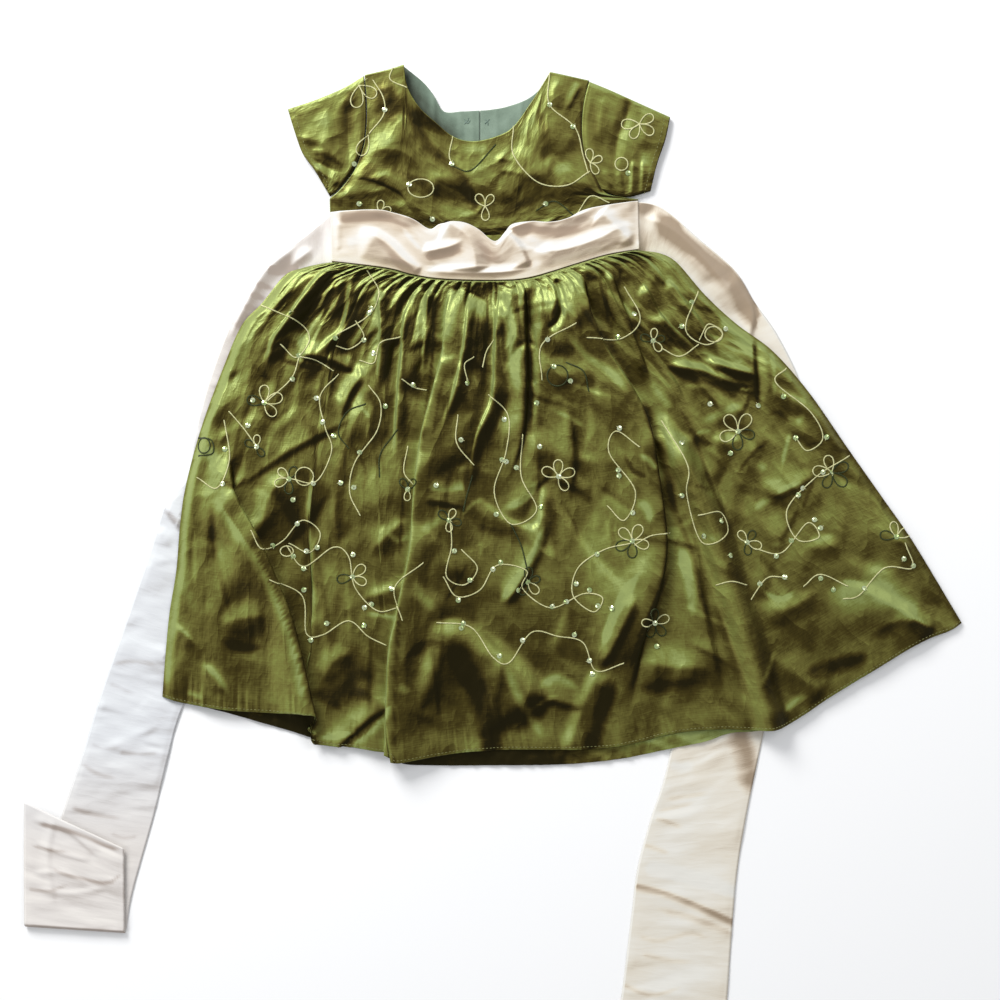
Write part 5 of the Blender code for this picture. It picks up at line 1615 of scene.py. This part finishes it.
# Sequins
# Small round cups of clear green-gold plastic beside the vines and on the flowers, each sewn down
# through its middle. They tilt a little one from another, so that they glint in turn.
SEQUIN = {"Radius": 2.0, "Hole": 0.5, "Cup": 0.45}
SEQUIN_SPACING = 34.0
SEQUIN_OFF_LINE = (3.2, 2.4)
SEQUIN_STITCH = {"Pitch": 1.0, "Length": 1.5, "Width": 0.45, "Height": 0.4, "Twist": 0.0}
SEQUIN_STITCH_REACH = 2.3
LOOSE_SEQUINS = [
    (-122, 169), (-94, 192), (-132, 104), (-155, 44), (-118, 57), (-62, 133), (-20, 134), (7, 75),
    (36, 85), (47, 147), (60, 136), (97, 67), (154, 197), (168, 118), (206, 117), (235, 92),
    (254, 22), (183, 1), (226, -16), (264, -26), (319, -2), (-129, -52), (-94, -37), (0, -10),
    (46, -39), (75, -81), (127, -70), (-23, -52), (75, -26), (-100, 370), (-84, 347), (-108, 305),
    (-32, 305), (-65, 289), (-104, 274), (-47, 262), (44, 351), (62, 334), (41, 274), (105, 298),
    (-186, 121), (-155, 0), (-145, 4), (92, -40), (34, 119), (-44, 55), (184, 80), (240, 53),
]


def sequin_tree():
    """Shallow open cups with a hole, tilted at random about the way the cloth faces."""
    nodes = PieceTree("sequins", SEQUIN)
    given = nodes.given
    inputs = {
        "Vertices": 14, "Side Segments": 2, "Radius Top": given["Hole"], "Radius Bottom": given["Radius"],
        "Depth": given["Cup"],
    }
    cup = nodes.add("GeometryNodeMeshCone", inputs, fill_type="NONE").outputs["Mesh"]
    cup = nodes.add("GeometryNodeSetShadeSmooth", {"Geometry": cup}).outputs["Geometry"]
    spots = nodes.add("GeometryNodeMeshToPoints", {"Mesh": given["Geometry"]}).outputs["Points"]
    turned = nodes.facing(None, "Z", nodes.cloth_normal())
    inputs = {"X": nodes.own(-0.22, 0.22, 3), "Y": nodes.own(-0.22, 0.22, 4), "Z": nodes.own(0.0, 6.3, 5)}
    tilt = nodes.add("ShaderNodeCombineXYZ", inputs).outputs["Vector"]
    inputs = {"Rotation": turned, "Rotate By": tilt}
    turned = nodes.add("FunctionNodeRotateRotation", inputs, rotation_space="LOCAL").outputs["Rotation"]
    inputs = {"Points": spots, "Instance": cup, "Rotation": turned}
    return nodes.close(nodes.add("GeometryNodeInstanceOnPoints", inputs).outputs["Instances"])


def sequin_plastic():
    """Clear tinted plastic over a bright foil."""
    nodes = Nodes("sequins")
    spot = nodes.add("ShaderNodeTexCoord").outputs["Object"]
    colour = nodes.ramp(
        nodes.noise(spot, 150.0, 2.0), [(0.35, (0.45, 0.60, 0.24)), (0.65, (0.85, 0.92, 0.62))]
    )
    return nodes.finish(colour, nodes.bump(nodes.noise(spot, 900.0, 2.0), 0.3, 0.3 * MM), 0.16, 0.85, 0.0)


places = list(LOOSE_SEQUINS) + [(x, y) for x, y, *_ in FLOWERS[:SKIRT_FLOWERS]]
for number, vine in enumerate(PALE_VINES[:SKIRT_VINES]):
    count = int(run_of(vine) / SEQUIN_SPACING)
    spots = soft_line(vine, (np.arange(count) + 0.6) / (count + 0.2)) if count else np.zeros((0, 2))
    for step, (x, y) in enumerate(spots):
        side = -1 if (number + step) % 2 else 1
        places.append((x + side * SEQUIN_OFF_LINE[0], y + side * SEQUIN_OFF_LINE[1]))
sewn_at = [laid_line(grounds, [(x, y), (x + 0.1, y)], rise=0.6, step=0.05)[:1] for x, y in places]
sewn_at = [stretch[0][:1] for stretch in sewn_at if stretch]
sequins = set_along("sequins", sewn_at, sequin_tree(), SEQUIN, sequin_plastic())
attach(sequins, "root")

# One stitch from each hole over the rim, every one in another direction
ties_down = []
for number, (x, y) in enumerate(places):
    a = number * 2.4
    over_rim = (x + SEQUIN_STITCH_REACH * math.cos(a), y + SEQUIN_STITCH_REACH * math.sin(a))
    ties_down += laid_line(grounds, [(x, y), over_rim], rise=1.0)
sequin_threads = set_along("sequin_threads", ties_down, stitches, SEQUIN_STITCH, pale_thread)
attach(sequin_threads, "root")

# Stitching
# Olive machine stitches hold the turned hem of the skirt and of both cuffs. On the lining,
# grey-green threads show where a button and its loop are sewn at the centre back.
SEAM_STITCH = {"Pitch": 3.0, "Length": 2.3, "Width": 0.5, "Height": 0.4, "Twist": 0.0}
BUTTON_STITCH = {"Pitch": 0.9, "Length": 1.6, "Width": 0.6, "Height": 0.5, "Twist": 0.3}
HEM_DEPTH = 1.8
FLAP_POINTS = 5
CUFF_DEPTH = 4.5
BUTTON_THREADS = [
    [(-22, 340), (-20, 337), (-18, 339)], [(-22, 337), (-20, 339), (-19, 341)],
    [(-6, 340), (-4, 338), (-4, 336)], [(-6, 337), (-3, 340)],
]

# The hem steps back at the edge of the flap at its left, and its line of stitches ends there
seams = []
for stretch in (HEM_FRONT[:FLAP_POINTS], HEM_FRONT[FLAP_POINTS:]):
    seams += laid_line(grounds[:1], [(x, y + HEM_DEPTH) for x, y in stretch], rise=0.1)
for shape, side in ((SLEEVE_LEFT, 1), (SLEEVE_RIGHT, -1)):
    cuff = [(x + side * CUFF_DEPTH, y - 0.5) for x, y in shape["cuff"]]
    seams += laid_line(grounds[2:], cuff, rise=0.1)
olive_thread = thread("olive_thread", (0.16, 0.16, 0.05), (0.30, 0.30, 0.12))
hem_stitches = set_along("hem_stitches", seams, stitches, SEAM_STITCH, olive_thread)
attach(hem_stitches, "root")

on_lining = [ray_ground(bpy.data.objects[f"back_lining_{side}_cloth"]) for side in ("left", "right")]
button_lines = [stretch for line in BUTTON_THREADS for stretch in laid_line(on_lining, line)]
lining_thread = thread("lining_thread", (0.10, 0.16, 0.13), (0.24, 0.32, 0.27))
button_threads = set_along("button_threads", button_lines, stitches, BUTTON_STITCH, lining_thread)
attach(button_threads, "root")
